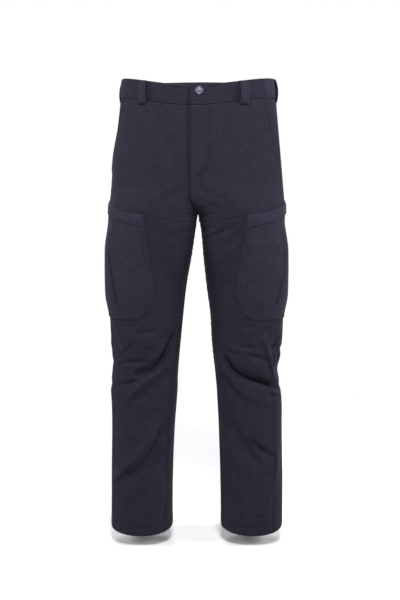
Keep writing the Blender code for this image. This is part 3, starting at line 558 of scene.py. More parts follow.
def shell(name, outer, inner, uv, material):
    """A thin closed wall of cloth between two grids of points, with its cut laid out in the map."""
    rows, columns = outer.shape[:2]
    count = rows * columns
    points = np.concatenate([outer.reshape(-1, 3), inner.reshape(-1, 3)]) * MM
    i, j = np.meshgrid(np.arange(rows - 1), np.arange(columns - 1), indexing="ij")
    a = (i * columns + j).ravel()
    face = np.stack([a, a + 1, a + columns + 1, a + columns], -1)
    border = list(range(columns))
    border += [i * columns + columns - 1 for i in range(1, rows)]
    border += [(rows - 1) * columns + j for j in range(columns - 2, -1, -1)]
    border += [i * columns for i in range(rows - 2, 0, -1)]
    border = np.array(border)
    after = np.roll(border, -1)
    band = np.stack([border, border + count, after + count, after], -1)
    faces = np.concatenate([face, (face + count)[:, ::-1], band])
    mesh = bpy.data.meshes.new(name)
    mesh.from_pydata(points.tolist(), [], faces.tolist())
    flat = np.concatenate([uv.reshape(-1, 2), uv.reshape(-1, 2)]) * MM
    layer = mesh.uv_layers.new(name="cut")
    layer.data.foreach_set("uv", flat[faces.ravel()].ravel())
    made = bmesh.new()
    made.from_mesh(mesh)
    bmesh.ops.recalc_face_normals(made, faces=made.faces)
    made.to_mesh(mesh)
    made.free()
    mesh.shade_smooth()
    mesh.set_sharp_from_angle(angle=math.radians(70))
    mesh.materials.append(material)
    piece = bpy.data.objects.new(name, mesh)
    bpy.context.scene.collection.objects.link(piece)
    return piece


def cut_piece(name, node, side, round_, z, lift, material, thick=WALL, creased=1.0):
    """Sews up one panel in place of its solid, and returns it with its outer points and their normals."""
    lift = lift + np.zeros_like(z)
    outer = cloth(side, round_, z, lift, creased)
    facing = outward(side, round_, z)
    inner = outer - facing * (thick + np.zeros_like(z))[..., None]
    uv = np.stack([reach(side, round_, z) * side, z], -1)
    piece = shell(name, outer, inner, uv, material)
    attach(piece, "root")
    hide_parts(node)
    declare_cut(outer)
    return piece, outer, facing


def declare_cut(outer):
    """Works out the flat size that the panel was cut to, its longest and widest, and its area, but keeps none
    of them.
    """
    long = np.linalg.norm(np.diff(outer, axis=0), axis=-1).sum(0).max() * MM
    wide = np.linalg.norm(np.diff(outer, axis=1), axis=-1).sum(1).max() * MM
    a, b = np.diff(outer, axis=0)[:, :-1], np.diff(outer, axis=1)[:-1]
    area = np.linalg.norm(np.cross(a, b), axis=-1).sum() * MM * MM
    flat = (round(float(max(wide, 0.012)), 3), round(float(max(long, 0.012)), 3))
    area = min(max(float(area), 0.31 * flat[0] * flat[1]), flat[0] * flat[1])


def rim(round_):
    """Height of the waistband's top edge, which dips at the front and rises at the back."""
    front = -24.0 * np.cos(np.clip(round_, 0, 1) * np.pi / 2) ** 2
    return front + 9.0 * np.sin(np.clip(round_ - 1, 0, 1) * np.pi / 2) ** 2


def waist_seam(round_):
    return rim(round_) - 44.0


def hem(round_):
    turned = np.mod(round_, 2)
    front = HEM_FRONT_DROP * np.sin(np.clip(turned, 0, 1) * np.pi)
    return HEM_SIDE - front + HEM_BACK_LIFT * np.sin(np.clip(turned - 1, 0, 1) * np.pi)


def yoke(round_):
    """Height of the thigh seam."""
    return smooth(YOKE_COLUMNS, YOKE_ROWS, "z", round_)


def outseam(side):
    return lambda z: along(side, seam("out_" + side_name(side), z), z)


def inseam(side, part, base):
    return lambda z: base + seam("in_" + side_name(side), z) / girths(side, z)[part]


def shifted(side, edge, distance):
    return lambda z: edge(z) + distance / girths(side, z)[0]


def lowered(edge, distance):
    return lambda round_: edge(round_) - distance


# The threads' colour, a third of the cloth's, is partly their own dark tone and partly painted shade of the
# grooves they lie in.
def stitched(paths, name, pitch=3.4, thick=0.42, colour=(0.0028, 0.0026, 0.0044)):
    """Rows of lockstitch: each path is points and normals, and each stitch a small grain of thread."""
    points, faces = [], []
    rings = ((0.06, 0.35), (0.3, 1.0), (0.7, 1.0), (0.94, 0.35))
    sides = 5
    for path, normals in paths:
        step = np.linalg.norm(np.diff(path, axis=0), axis=1)
        run = np.concatenate([[0], np.cumsum(step)])
        count = max(1, int(run[-1] / pitch))
        for k in range(count):
            ends = np.array([k, k + 1]) * run[-1] / count
            a, b = (np.array([np.interp(e, run, path[:, c]) for c in range(3)]) for e in ends)
            up = np.array([np.interp(ends.mean(), run, normals[:, c]) for c in range(3)])
            up /= np.linalg.norm(up)
            out = np.cross(b - a, up)
            out /= np.linalg.norm(out)
            first = len(points)
            for share, fat in rings:
                centre = a + (b - a) * share + up * (0.1 * fat - 0.1)
                for turn in np.linspace(0, 2 * np.pi, sides, endpoint=False):
                    points.append(centre + fat * thick * (out * np.cos(turn) + 0.8 * up * np.sin(turn)))
            for ring in range(len(rings) - 1):
                for s in range(sides):
                    m, n = first + ring * sides + s, first + ring * sides + (s + 1) % sides
                    faces.append((m, n, n + sides, m + sides))
            faces.append(tuple(first + s for s in range(sides))[::-1])
            faces.append(tuple(first + (len(rings) - 1) * sides + s for s in range(sides)))
    mesh = bpy.data.meshes.new(name)
    mesh.from_pydata((np.array(points) * MM).tolist(), [], faces)
    mesh.shade_smooth()
    mesh.materials.append(thread_material(colour))
    piece = bpy.data.objects.new(name, mesh)
    bpy.context.scene.collection.objects.link(piece)
    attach(piece, "root")
    return piece


def thread_material(colour):
    """Spun polyester thread, faintly uneven in tone."""
    name = "thread_%02d" % round(colour[2] * 1000)
    if name in bpy.data.materials:
        return bpy.data.materials[name]
    made, tree, shader = new_material(name)
    where = add_node(tree, "TexCoord", {}).outputs["Object"]
    ply = add_node(tree, "TexNoise", {"Vector": where, "Scale": 900.0}).outputs["Fac"]
    tone = blend(tree, ply, (0.0, [c * 0.7 for c in colour]), (1.0, [c * 1.5 for c in colour]))
    set_inputs(shader, {"Base Color": tone, "Roughness": 0.8, "Specular IOR Level": 0.05})
    return made


def line_in(outer, facing, across, at):
    """A line down a panel's points, at a distance across it."""
    j = int(np.clip(np.searchsorted(across, at) - 1, 0, len(across) - 2))
    t = (at - across[j]) / (across[j + 1] - across[j])
    return outer[:, j] * (1 - t) + outer[:, j + 1] * t, facing[:, j]


def leg_heights(top, bottom, edge):
    """Heights down a leg in even steps, with the edge's own rows at the top and the hem's at the bottom."""
    length = top - bottom
    return top - marks(length, edge, spots(HEMMED))


def hem_wall(distance):
    """Thickness of the cloth, which is turned up and double at the hem."""
    return WALL + (HEM_WALL - WALL) * (1 - ease(distance, HEM_DEPTH - 6.0, HEM_DEPTH))


LEG_WIDTH = 205.0
LEVEL_REACH = 225.0
for side in (-1, 1):
    name = side_name(side)
    places = marks(LEG_WIDTH, spots(FELLED), spots(FELLED)[::-1])
    across = places / LEG_WIDTH
    heights = leg_heights(THIGH_SEAM_LOW, HEM_SIDE, spots(ROLLED))
    start = shifted(side, inseam(side, 0, 0), SEAM / 2)
    end = shifted(side, outseam(side), -SEAM / 2)
    round_, z = lay(lowered(yoke, SEAM / 2), hem, start, end, across, heights, LEVEL_REACH)
    from_hem = z - hem(round_)
    below_cargo = ease(CARGO_BOTTOM[name] - z, 2.0, 20.0)
    lift = seen_edge(places, FELLED)[None, :]
    lift = lift + seen_edge(LEG_WIDTH - places, FELLED)[None, :] * below_cargo
    lift = lift + 0.5 * seen_edge(yoke(round_) - z, ROLLED) + seen_edge(from_hem, HEMMED)
    lift = lift + pucker(places[None, :], z) + pucker(LEG_WIDTH - places[None, :], z + 40.0)
    piece, outer, facing = cut_piece(
        "leg_front_" + name, "front_leg_" + name, side, round_, z, lift, leg_cloth, hem_wall(from_hem)
    )
    stitch_row = len(heights) - 1 - spots(HEMMED).index(HEM_STITCH)
    rows = [(outer[stitch_row], facing[stitch_row])]
    below = heights < CARGO_BOTTOM[name] - 12.0
    for inset in (1.2, 7.8):
        j = spots(FELLED).index(inset)
        rows.append((outer[3:-6, j], facing[3:-6, j]))
        rows.append((outer[below][:-6, -1 - j], facing[below][:-6, -1 - j]))
    stitched(rows, "hem_stitching_front_" + name)

# Back panels. Seat and leg are cut in one length from the waistband to the hem. A felled seam with two
# rows of stitching joins them down the centre back; both are plain, as nothing else is sewn on them.
BACK_WIDTH = 255.0
BACK_TOP = -35.0
SEAT_ROWS = 26
for side in (-1, 1):
    name = side_name(side)
    centre_shape = FELLED if side < 0 else ROLLED
    places = marks(BACK_WIDTH, spots(ROLLED), spots(centre_shape)[::-1])
    across = places / BACK_WIDTH
    t = np.linspace(0, 1, SEAT_ROWS + 1)[1:]
    seat = list(BACK_TOP - marks(BACK_TOP - SEAT_CURVE_START, spots(ROLLED), (0.0,)))
    seat += list(SEAT_CURVE_START + (CROTCH - SEAT_CURVE_START) * (1 - (1 - t) ** 2))
    heights = np.concatenate([seat, leg_heights(CROTCH - 3.0, HEM_SIDE, (0.0,))])
    start = shifted(side, outseam(side), SEAM / 2)
    end = shifted(side, inseam(side, 1, 2), -SEAM / 2)
    round_, z = lay(lowered(waist_seam, SEAM / 2), hem, start, end, across, heights, LEVEL_REACH)
    from_hem = z - hem(round_)
    from_centre = BACK_WIDTH - places
    lift = seen_edge(places, ROLLED)[None, :] + 0 * z
    above = ease(z, CROTCH - 10.0, CROTCH + 10.0)
    lift = lift + above * seen_edge(from_centre, centre_shape)[None, :]
    lift = lift + (1 - above) * seen_edge(from_centre, ROLLED)[None, :]
    lift = lift + seen_edge(waist_seam(round_) - z, ROLLED) + seen_edge(from_hem, HEMMED)
    lift = lift + pucker(places[None, :], z) + pucker(from_centre[None, :], z + 20.0)
    piece, outer, facing = cut_piece(
        "back_panel_" + name, "back_" + name, side, round_, z, lift, leg_cloth, hem_wall(from_hem)
    )
    stitch_row = len(heights) - 1 - spots(HEMMED).index(HEM_STITCH)
    rows = [(outer[stitch_row], facing[stitch_row])]
    if side < 0:
        seat_rows = slice(2, len(seat) - 2)
        for inset in (2.0, 7.8):
            path, normals = line_in(outer, facing, places, BACK_WIDTH - inset)
            rows.append((path[seat_rows], normals[seat_rows]))
    stitched(rows, "seat_stitching_" + name)

# Upper fronts. Each runs from the waistband to the thigh seam and ends at the slanted pocket mouth. The
# left one has a ridge down the fly and two grooves for its curved stitching, and lies over the right one.
FLY_UNDERLAP = 34.0
FLY_END = -218.0
UNDER_FRONT = 4.4
MOUTH_WIDTH = 51.0
MOUTH_END = -212.0
FRONT_WIDTH = 235.0
FRONT_TOP = -68.0
FRONT_ROWS = 26
FLY_ROWS = (0.0, 6.4)
FLY_EDGE = ((0.0, -0.2), (0.5, 1.0), (1.3, 1.7), (3.0, 1.8), (9.0, 1.0), (20.0, 0.0), (60.0, 0.0))
MOUTH_EDGE = ((0.0, -0.2), (0.5, 0.8), (1.5, 1.4), (3.0, 0.8), (4.4, 1.3), (7.6, 0.9), (9.2, 0.0),
              (11.0, 0.2), (60.0, 0.0))
# The fly's curved stitching, as distances from the fly's edge and heights.
FLY_STITCH = ((44.5, -70), (44.5, -180), (42.0, -197), (35.0, -212), (24.0, -223), (12.0, -231), (3.0, -236))
GROOVE = 1.5
GROOVE_DEPTH = 1.6


def mouth(z):
    """Distance of the pocket mouth in front of the outseam."""
    return MOUTH_WIDTH * np.clip((z - MOUTH_END) / (waist_seam(0.8) - MOUTH_END), 0, 1) ** 0.9


def fly_path(inset):
    """The curved row of stitching that holds the fly, moved in by inset."""
    knots = np.array(FLY_STITCH, float)
    run = np.linspace(0, 1, 90)
    marks_at = np.linspace(0, 1, len(knots))
    from_fly = np.interp(run, marks_at, knots[:, 0])
    z = np.interp(run, marks_at, knots[:, 1])
    kernel = np.ones(9) / 9
    from_fly = np.convolve(np.pad(from_fly, 4, "edge"), kernel, "valid")
    z = np.convolve(np.pad(z, 4, "edge"), kernel, "valid")
    down = np.gradient(np.stack([from_fly, z], -1), axis=0)
    down /= np.linalg.norm(down, axis=1, keepdims=True)
    return from_fly + down[:, 1] * inset, z - down[:, 0] * inset


# The upper fronts and the pocket side panels get the cloth painted 12% lighter: painted light from above.
upper_cloth_painted_light = cloth_material("upper_cloth_painted_light", painted_lighter(1.12))
for side in (-1, 1):
    name = side_name(side)
    shape = FLY_EDGE if side > 0 else ROLLED

    def start(z):
        lap = FLY_UNDERLAP * np.sqrt(np.clip((z - FLY_END) / 60.0, 0, 1)) if side < 0 else 0.0
        return inseam(side, 0, 0)(z) + (SEAM / 2 - lap) / girths(side, z)[0]

    def end(z):
        return outseam(side)(z) - (mouth(z) + SEAM / 2) / girths(side, z)[0]

    places = marks(FRONT_WIDTH, spots(shape), spots(MOUTH_EDGE)[::-1], 3.6)
    across = places / FRONT_WIDTH
    t = np.linspace(0, 1, FRONT_ROWS + 1)[1:]
    plain = FRONT_TOP - marks(FRONT_TOP - FRONT_CURVE_START, spots(ROLLED), (0.0,), 4.0)
    curved = FRONT_CURVE_START + (CROTCH - FRONT_CURVE_START) * (1 - (1 - t) ** 2)
    below = CROTCH - marks(20.0, (1.5, 4.0), spots(FELLED)[:8][::-1], 4.0)
    heights = np.concatenate([plain, curved, below])
    round_, z = lay(lowered(waist_seam, SEAM / 2), lambda r: yoke(r) + SEAM / 2, start, end, across, heights)
    width = (end(z) - start(z)) * girths(side, z)[0]
    from_inner, from_outer = across[None, :] * width, (1 - across[None, :]) * width
    lift = seen_edge(from_inner, shape) * (1.0 if side > 0 else ease(-z, -FLY_END, -FLY_END + 20.0))
    plain_side = ease(MOUTH_END + 6.0 - z, 0.0, 10.0)
    lift = lift + seen_edge(from_outer, MOUTH_EDGE) * (1 - plain_side)
    lift = lift + seen_edge(from_outer, ROLLED) * plain_side
    lift = lift + seen_edge(waist_seam(round_) - z, ROLLED) + 0.6 * seen_edge(z - yoke(round_), FELLED)
    lift = lift + pucker(z - yoke(round_), round_ * 300.0, 0.25)
    lift = lift + pucker(waist_seam(round_) - z, round_ * 260.0, 0.3)
    if side < 0:
        from_fly = round_ * girths(side, z)[0]
        lift = lift - UNDER_FRONT * (1 - ease(from_fly, 0.3, 15.0)) * ease(z, -268.0, -228.0)
    else:
        for inset in FLY_ROWS:
            path_g, path_z = fly_path(inset)
            gap = np.full(z.shape, 1e9)
            for at_g, at_z in zip(path_g, path_z):
                gap = np.minimum(gap, np.hypot(from_inner - at_g, z - at_z))
            lift = lift - GROOVE_DEPTH * np.exp(-((gap / GROOVE) ** 2))
        lift = lift + 0.35 * ease(50.0 - from_inner, 0.0, 8.0) * ease(z, -226.0, -190.0)
    piece, outer, facing = cut_piece(
        "upper_front_" + name, "front_" + name, side, round_, z, lift, upper_cloth_painted_light
    )
    yoke_row = len(heights) - 1 - 5
    rows = [(outer[yoke_row], facing[yoke_row])]
    mouth_rows = heights > MOUTH_END - 4.0
    for inset in (3.0, 9.2):
        j = len(places) - 1 - spots(MOUTH_EDGE).index(inset)
        rows.append((outer[mouth_rows][2:, j], facing[mouth_rows][2:, j]))
    if side > 0:
        for inset in FLY_ROWS:
            path_g, path_z = fly_path(inset)
            path_round = path_g / girths(side, path_z)[0]
            points = cloth(side, path_round, path_z, 0.0 * path_z + 0.1)
            rows.append((points, outward(side, path_round, path_z)))
        low = (heights < FLY_STITCH[-1][1]) & (heights > CROTCH + 2.0)
        for inset in (1.3, 9.0):
            j = spots(FLY_EDGE).index(inset)
            rows.append((outer[low][:, j], facing[low][:, j]))
    stitched(rows, "front_stitching_" + name)

# Side panels behind the pocket mouths. Each fills the corner outside the slanted mouth and goes on a
# little way under the front; there is no pocket bag.
POCKET_TUCK = 16.0
POCKET_RISE = 3.0
POCKET_BELOW_MOUTH = 14.0
RISE_BETWEEN = (0.165, 0.195)
for side in (-1, 1):
    name = side_name(side)
    places = marks(MOUTH_WIDTH + POCKET_TUCK, (0.0,), spots(ROLLED)[::-1], 3.4)
    across = places / places[-1]
    start = lambda z: outseam(side)(z) - (mouth(z) + POCKET_TUCK) / girths(side, z)[0]
    end = shifted(side, outseam(side), -SEAM / 2)
    low = MOUTH_END - POCKET_BELOW_MOUTH
    heights = waist_seam(0.8) - marks(waist_seam(0.8) - low, spots(ROLLED), (0.0,), 5.0)
    at_band = outseam(side)(waist_seam(0.8))
    top = lambda r: waist_seam(r) - SEAM / 2 + POCKET_RISE * ease(at_band - r, *RISE_BETWEEN)
    round_, z = lay(top, lambda r: 0 * r + low, start, end, across, heights)
    from_seam = (outseam(side)(z) - round_) * girths(side, z)[0]
    lift = -0.7 * UNDER_FRONT * ease(from_seam, mouth(z) - 26.0, mouth(z))
    lift = lift + seen_edge(from_seam, ROLLED) + seen_edge(top(round_) - z, ROLLED)
    cut_piece("pocket_side_" + name, "hip_pocket_" + name, side, round_, z, lift, upper_cloth_painted_light)

# Cargo pockets. Each lies over the outseam of the thigh, is sewn down on three sides with its front lower
# corner cut off, and has a deep pleat down its middle. It is one wall, with the leg's cloth behind it.
CARGO_WIDTH = 225.0
CARGO_TOP = -302.0
CARGO_WALL = 1.2
OVER_LEG = 0.8
CARGO_SWELL = 6.5
CARGO_BELOW_YOKE = 12.0
PLEAT_DEPTH = 9.5
PLEAT_RIDGE = 3.6
PLEAT_COLUMNS = ("z", "right", "left")
PLEAT_ROWS = ((-330, -58, -46), (-373, -62, -48), (-451, -72, -63), (-490, -77, -75), (-560, -87, -77))
SEWN_DOWN = ((0.0, -1.6), (0.6, -0.9), (1.6, -0.05), (2.8, -0.8), (4.2, 0.05), (8.0, 0.1), (9.4, -0.7),
             (11.0, 0.05), (14.0, 0.0), (60.0, 0.0))
# The cargo pockets get the cloth painted 24% lighter: painted light on the sides of the thighs, where they
# stand proud.
pocket_cloth_painted_light = cloth_material("pocket_cloth_painted_light", painted_lighter(1.24))


def cargo_edge(side):
    return lambda z: along(side, straight(CARGO_COLUMNS, CARGO_ROWS, side_name(side), z), z)


for side in (-1, 1):
    name = side_name(side)
    low = CARGO_BOTTOM[name]
    length = CARGO_TOP - low
    places = marks(CARGO_WIDTH, spots(SEWN_DOWN), spots(SEWN_DOWN)[::-1], 1.9)
    downs = marks(length, (0.0,), spots(SEWN_DOWN)[::-1], 4.0)
    across, down = places / CARGO_WIDTH, downs / length
    heights = CARGO_TOP - downs
    top, bottom = lowered(yoke, CARGO_BELOW_YOKE), lambda r: 0 * r + low
    start, end = cargo_edge(side), lambda z: along(side, CARGO_BACK + 0 * z, z)
    round_, z = lay(top, bottom, start, end, across, heights)
    u, v = np.meshgrid(across, down)
    g = reach(side, round_, z)
    from_edges = np.minimum(np.minimum(u * CARGO_WIDTH, (1 - u) * CARGO_WIDTH), z - low)
    pleat = smooth(PLEAT_COLUMNS, PLEAT_ROWS, name, z)
    swell = CARGO_SWELL * ease(u, 0.0, 0.25) * ease(1 - u, 0.0, 0.25)
    swell = swell * ease(1 - v, 0.0, 0.22) * ease(v, 0.12, 0.4)
    depth = PLEAT_DEPTH * ease(v, 0.06, 0.3) * ease(1 - v, 0.0, 0.3)
    off = g - pleat
    cut = depth * np.exp(-((off / np.where(off > 0, 8.0, 2.6)) ** 2))
    ridge = PLEAT_RIDGE * ease(v, 0.06, 0.3) * ease(1 - v, 0.0, 0.25)
    ridge = ridge * np.exp(-(((off + 7.5) / 5.0) ** 2))
    lift = OVER_LEG + WALL + np.maximum(swell - cut, -0.2) + ridge + seen_edge(from_edges, SEWN_DOWN)
    piece, outer, facing = cut_piece(
        "thigh_pocket_" + name, "cargo_pocket_" + name, side, round_, z, lift, pocket_cloth_painted_light, CARGO_WALL
    )
    rows = []
    for inset in (2.8, 9.4):
        k = spots(SEWN_DOWN).index(inset)
        i = len(downs) - 1 - k
        rows.append((outer[4:i + 1, k], facing[4:i + 1, k]))
        rows.append((outer[i, k:-1 - k], facing[i, k:-1 - k]))
        rows.append((outer[4:i + 1, -1 - k], facing[4:i + 1, -1 - k]))
    stitched(rows, "pocket_stitching_" + name)

# Pocket flaps. Each hangs from the thigh seam over the pocket's mouth and has one row of stitching round
# its three free edges.
FLAP_WIDTH = 225.0
FLAP_HEIGHT = 27.0
FLAP_WALL = 1.5
FLAP_FRONT = {"right": -153.0, "left": -160.0}
FLAP_EDGE = ((0.0, -0.8), (0.5, -0.25), (1.3, 0.05), (3.4, 0.1), (4.6, -0.4), (6.0, 0.05), (9.0, 0.0),
             (60.0, 0.0))
FLAP_STITCH = 4.6
FLAP_SLANT = 0.12
# The flaps get the cloth painted half again as light: painted light and sheen where they stand proud and tilt
# up.
flap_cloth_painted_light = cloth_material("flap_cloth_painted_light", painted_lighter(1.5))
for side in (-1, 1):
    name = side_name(side)
    places = marks(FLAP_WIDTH, spots(FLAP_EDGE), spots(FLAP_EDGE)[::-1], 3.8)
    downs = marks(FLAP_HEIGHT, (0.0, 0.8, 2.0, 4.0, 6.0), spots(FLAP_EDGE)[::-1], 3.0)
    across = places / FLAP_WIDTH
    top = yoke(0.8) + 1.0
    heights = top - downs * (FLAP_HEIGHT + 1.0) / FLAP_HEIGHT
    start = lambda z: along(side, FLAP_FRONT[name] + FLAP_SLANT * (yoke(0.55) - z), z)
    end = lambda z: along(side, CARGO_BACK + 3.0 + 0 * z, z)
    round_, z = lay(lambda r: yoke(r) + 1.0, lowered(yoke, FLAP_HEIGHT), start, end, across, heights)
    u, d = np.meshgrid(across, downs)
    from_edges = np.minimum(np.minimum(u * FLAP_WIDTH, (1 - u) * FLAP_WIDTH), FLAP_HEIGHT - d)
    lift = OVER_LEG + WALL + (WALL + 0.5) * ease(d, 0.0, 9.0) + seen_edge(from_edges, FLAP_EDGE)
    lift = lift - 0.9 * np.exp(-((d / 1.0) ** 2)) + 0.5 * np.sin(u * 9.0 + side) * ease(d, 4.0, 20.0)
    piece, outer, facing = cut_piece(
        "pocket_flap_" + name, "cargo_flap_" + name, side, round_, z, lift, flap_cloth_painted_light, FLAP_WALL, 0.0
    )
    k = spots(FLAP_EDGE).index(FLAP_STITCH)
    i = len(downs) - 1 - k
    rows = [(outer[3:i + 1, k], facing[3:i + 1, k]), (outer[i, k:-1 - k], facing[i, k:-1 - k])]
    rows.append((outer[3:i + 1, -1 - k], facing[3:i + 1, -1 - k]))
    stitched(rows, "flap_stitching_" + name)

# Waistband. Two front lengths and one back length that is gathered as if on elastic at the sides. The
# left front ends in a tab with a round upper corner, which lies over the right front.
BAND_WALL = 2.4
BAND_FRONT_WIDTH = 185.0
BAND_BACK_WIDTH = 275.0
BAND_UNDERLAP = 38.0
TAB_CORNER = 8.0
UNDER_BAND = 4.4
BAND_LENGTH = 44.0
GATHERS = 7
GATHERED_SHARE = 0.36
GATHER_HEIGHT = 2.2
BAND_SEAM_AHEAD = 50.0
TAB_RISE = 1.3
BAND_TOP = ((0.0, -1.3), (0.5, -0.5), (1.3, -0.05), (2.6, 0.1), (60.0, 0.0))
BAND_FOOT = ((0.0, -1.0), (0.6, -0.2), (1.6, 0.2), (2.8, -0.4), (4.2, 0.1), (6.6, 0.1), (8.0, -0.5),
             (9.4, 0.0), (60.0, 0.0))
BAND_STITCHES = (2.8, 8.0)
# The front waistband gets the cloth painted 10% lighter: painted light from above.
band_cloth_painted_light = cloth_material("band_cloth_painted_light", painted_lighter(1.10))
# Each crease's side, first and last place round, depth below the edge at each, and height.
BAND_CREASES = (
    (-1, 0.05, 0.30, 7.0, 11.5, -2.4),
    (-1, 0.08, 0.42, 15.0, 18.5, -0.8),
    (-1, 0.1, 0.5, 26.0, 23.0, -0.7),
    (1, 0.12, 0.30, 9.5, 5.0, -2.2),
    (1, 0.2, 0.44, 19.0, 16.0, -0.7),
    (1, 0.14, 0.5, 28.0, 31.0, -0.5),
)


def band_seam(side):
    """Upright joint between the front and the back of the waistband."""
    return lambda z: outseam(side)(0 * z - 20.0) - BAND_SEAM_AHEAD / girths(side, z)[0]


def band_creases(side, round_, d):
    """Shallow drag lines in the front waistband, each sloping from one depth below the edge to another."""
    total = 0 * d
    for on, first, last, from_d, to_d, height in BAND_CREASES:
        if on == side:
            t = (round_ - first) / (last - first)
            fade = np.clip(4 * t * (1 - t), 0, 1)
            total = total + height * fade * np.exp(-(((d - from_d - (to_d - from_d) * t) / 2.0) ** 2))
    return total


for side in (-1, 1):
    name = side_name(side)

    def start(z):
        if side < 0:
            return -BAND_UNDERLAP / girths(side, z)[0]
        drop = np.clip(TAB_CORNER - (rim(0) - z), 0, TAB_CORNER)
        return (TAB_CORNER - np.sqrt(TAB_CORNER**2 - drop**2)) / girths(side, z)[0]

    end = shifted(side, band_seam(side), -SEAM / 2)
    places = marks(BAND_FRONT_WIDTH, spots(FLAP_EDGE), spots(ROLLED)[::-1], 3.2)
    downs = marks(BAND_LENGTH, spots(BAND_TOP), spots(BAND_FOOT)[::-1], 2.2)
    across = places / BAND_FRONT_WIDTH
    heights = rim(0) - downs
    round_, z = lay(rim, lowered(waist_seam, -SEAM / 2), start, end, across, heights)
    d = rim(round_) - z
    from_inner, from_outer = places[None, :] + 0 * z, BAND_FRONT_WIDTH - places[None, :]
    lift = seen_edge(d, BAND_TOP) + seen_edge(z - waist_seam(round_), BAND_FOOT)
    lift = lift + seen_edge(from_outer, ROLLED)
    lift = lift + seen_edge(from_inner, FLAP_EDGE) + band_creases(side, round_, d)
    lift = lift + pucker(z - waist_seam(round_), round_ * 240.0, 0.25)
    if side < 0:
        lift = lift - UNDER_BAND * (1 - ease(round_ * girths(side, z)[0], 0.3, 15.0))
    else:
        lift = lift + TAB_RISE * (1 - ease(from_inner, 20.0, 40.0))
    piece, outer, facing = cut_piece(
        "waist_front_" + name, "waistband_" + name, side, round_, z, lift, band_cloth_painted_light, BAND_WALL
    )
    rows = []
    for inset in BAND_STITCHES:
        i = len(downs) - 1 - spots(BAND_FOOT).index(inset)
        rows.append((outer[i, 4:], facing[i, 4:]))
    if side > 0:
        k = spots(FLAP_EDGE).index(FLAP_STITCH)
        top_row = spots(BAND_TOP).index(2.6)
        rows.append((outer[top_row + 1:-8, k], facing[top_row + 1:-8, k]))
        rows.append((outer[top_row + 1, k:18], facing[top_row + 1, k:18]))
    stitched(rows, "waist_stitching_" + name)

downs = marks(BAND_LENGTH, spots(BAND_TOP), spots(BAND_FOOT)[::-1], 2.4)
outers, inners, facings, maps = [], [], [], []
for side in (-1, 1):
    places = marks(BAND_BACK_WIDTH, spots(ROLLED), (0.0,), 2.4)
    across = places / BAND_BACK_WIDTH
    start = shifted(side, band_seam(side), SEAM / 2)
    heights = rim(2.0) - downs
    round_, z = lay(rim, lowered(waist_seam, -SEAM / 2), start, lambda z: 2.0 + 0 * z, across, heights)
    d = rim(round_) - z
    u = across[None, :] + 0 * z
    gathered = ease(u, 0.0, 0.03) * ease(GATHERED_SHARE - u, 0.0, 0.03)
    wave = 0.5 - 0.5 * np.cos(2 * np.pi * GATHERS * u / GATHERED_SHARE + 0.5 * np.sin(z * 0.12))
    lift = GATHER_HEIGHT * wave * gathered * np.sin(np.pi * np.clip(d / BAND_LENGTH, 0, 1)) ** 0.6
    lift = lift + seen_edge(d, BAND_TOP) + seen_edge(z - waist_seam(round_), BAND_FOOT)
    lift = lift + seen_edge(places, ROLLED)[None, :] + pucker(z - waist_seam(round_), u * 270.0, 0.25)
    order = slice(None) if side < 0 else slice(-2, None, -1)
    outer, facing = cloth(side, round_, z, lift), outward(side, round_, z)
    inner = cloth(side, round_, z, 0 * z - BAND_WALL)
    map_u = (reach(side, round_, z) - girths(side, z)[1]) * side
    outers.append(outer[:, order])
    inners.append(inner[:, order])
    facings.append(facing[:, order])
    maps.append(np.stack([map_u, z], -1)[:, order])
outer, inner, facing = (np.concatenate(parts, 1) for parts in (outers, inners, facings))
# The back waistband gets the same cloth painted 60% lighter: painted light at the sides of the waist.
back_band_painted_light = cloth_material("back_band_painted_light", painted_lighter(1.6))
band = shell("waist_back", outer, inner, np.concatenate(maps, 1), back_band_painted_light)
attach(band, "root")
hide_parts("waistband_back")
declare_cut(outer)
rows = []
for inset in BAND_STITCHES:
    i = len(downs) - 1 - spots(BAND_FOOT).index(inset)
    rows.append((outer[i], facing[i]))
stitched(rows, "waist_stitching_back")

# Belt loops. Strips of cloth with two rows of stitching down them, held by a bar of thread at the
# waistband's top edge and another on the panel below it; they stand off between.
LOOP_WIDTH = 20.5
LOOP_LENGTH = 52.0
LOOP_STAND = {"front": 10.0, "side": 6.0, "back": 2.0}
LOOP_TILT = {"front": 0.45, "side": 1.0, "back": 0.0}
SIDE_LOOP_DROP = 2.6
LOOP_WALL = 1.8
# Each loop's name and side, and the distances of its top and its bottom; the back one is at the centre.
LOOP_ROWS = (
    ("front_right", -1, -102.0, -111.0),
    ("front_left", 1, -124.0, -130.0),
    ("side_right", -1, 27.0, 26.0),
    ("side_left", 1, -13.0, -15.0),
    ("back", 1, None, None),
)
LOOP_EDGE = ((0.0, -0.7), (0.5, -0.2), (1.2, 0.05), (2.6, 0.1), (4.0, -0.18), (5.4, 0.05), (7.0, 0.1),
             (60.0, 0.1))
# The belt loops get the cloth painted 45% lighter: painted light on their faces, which stand off the band.
loop_cloth = cloth_material("loop_cloth", painted_lighter(1.45))


def bar_tack(centre, facing, along_it, length, wide=2.0, count=15):
    """A dense bar of zigzag thread: one short path for each crossing."""
    along_it = along_it / np.linalg.norm(along_it)
    over = np.cross(facing, along_it)
    over /= np.linalg.norm(over)
    rows = []
    for k in range(count):
        at = centre + along_it * length * (k / (count - 1) - 0.5)
        ends = np.array([at - over * wide / 2, at + over * wide / 2 + along_it * length / count / 2])
        rows.append((ends, np.array([facing, facing])))
    return rows


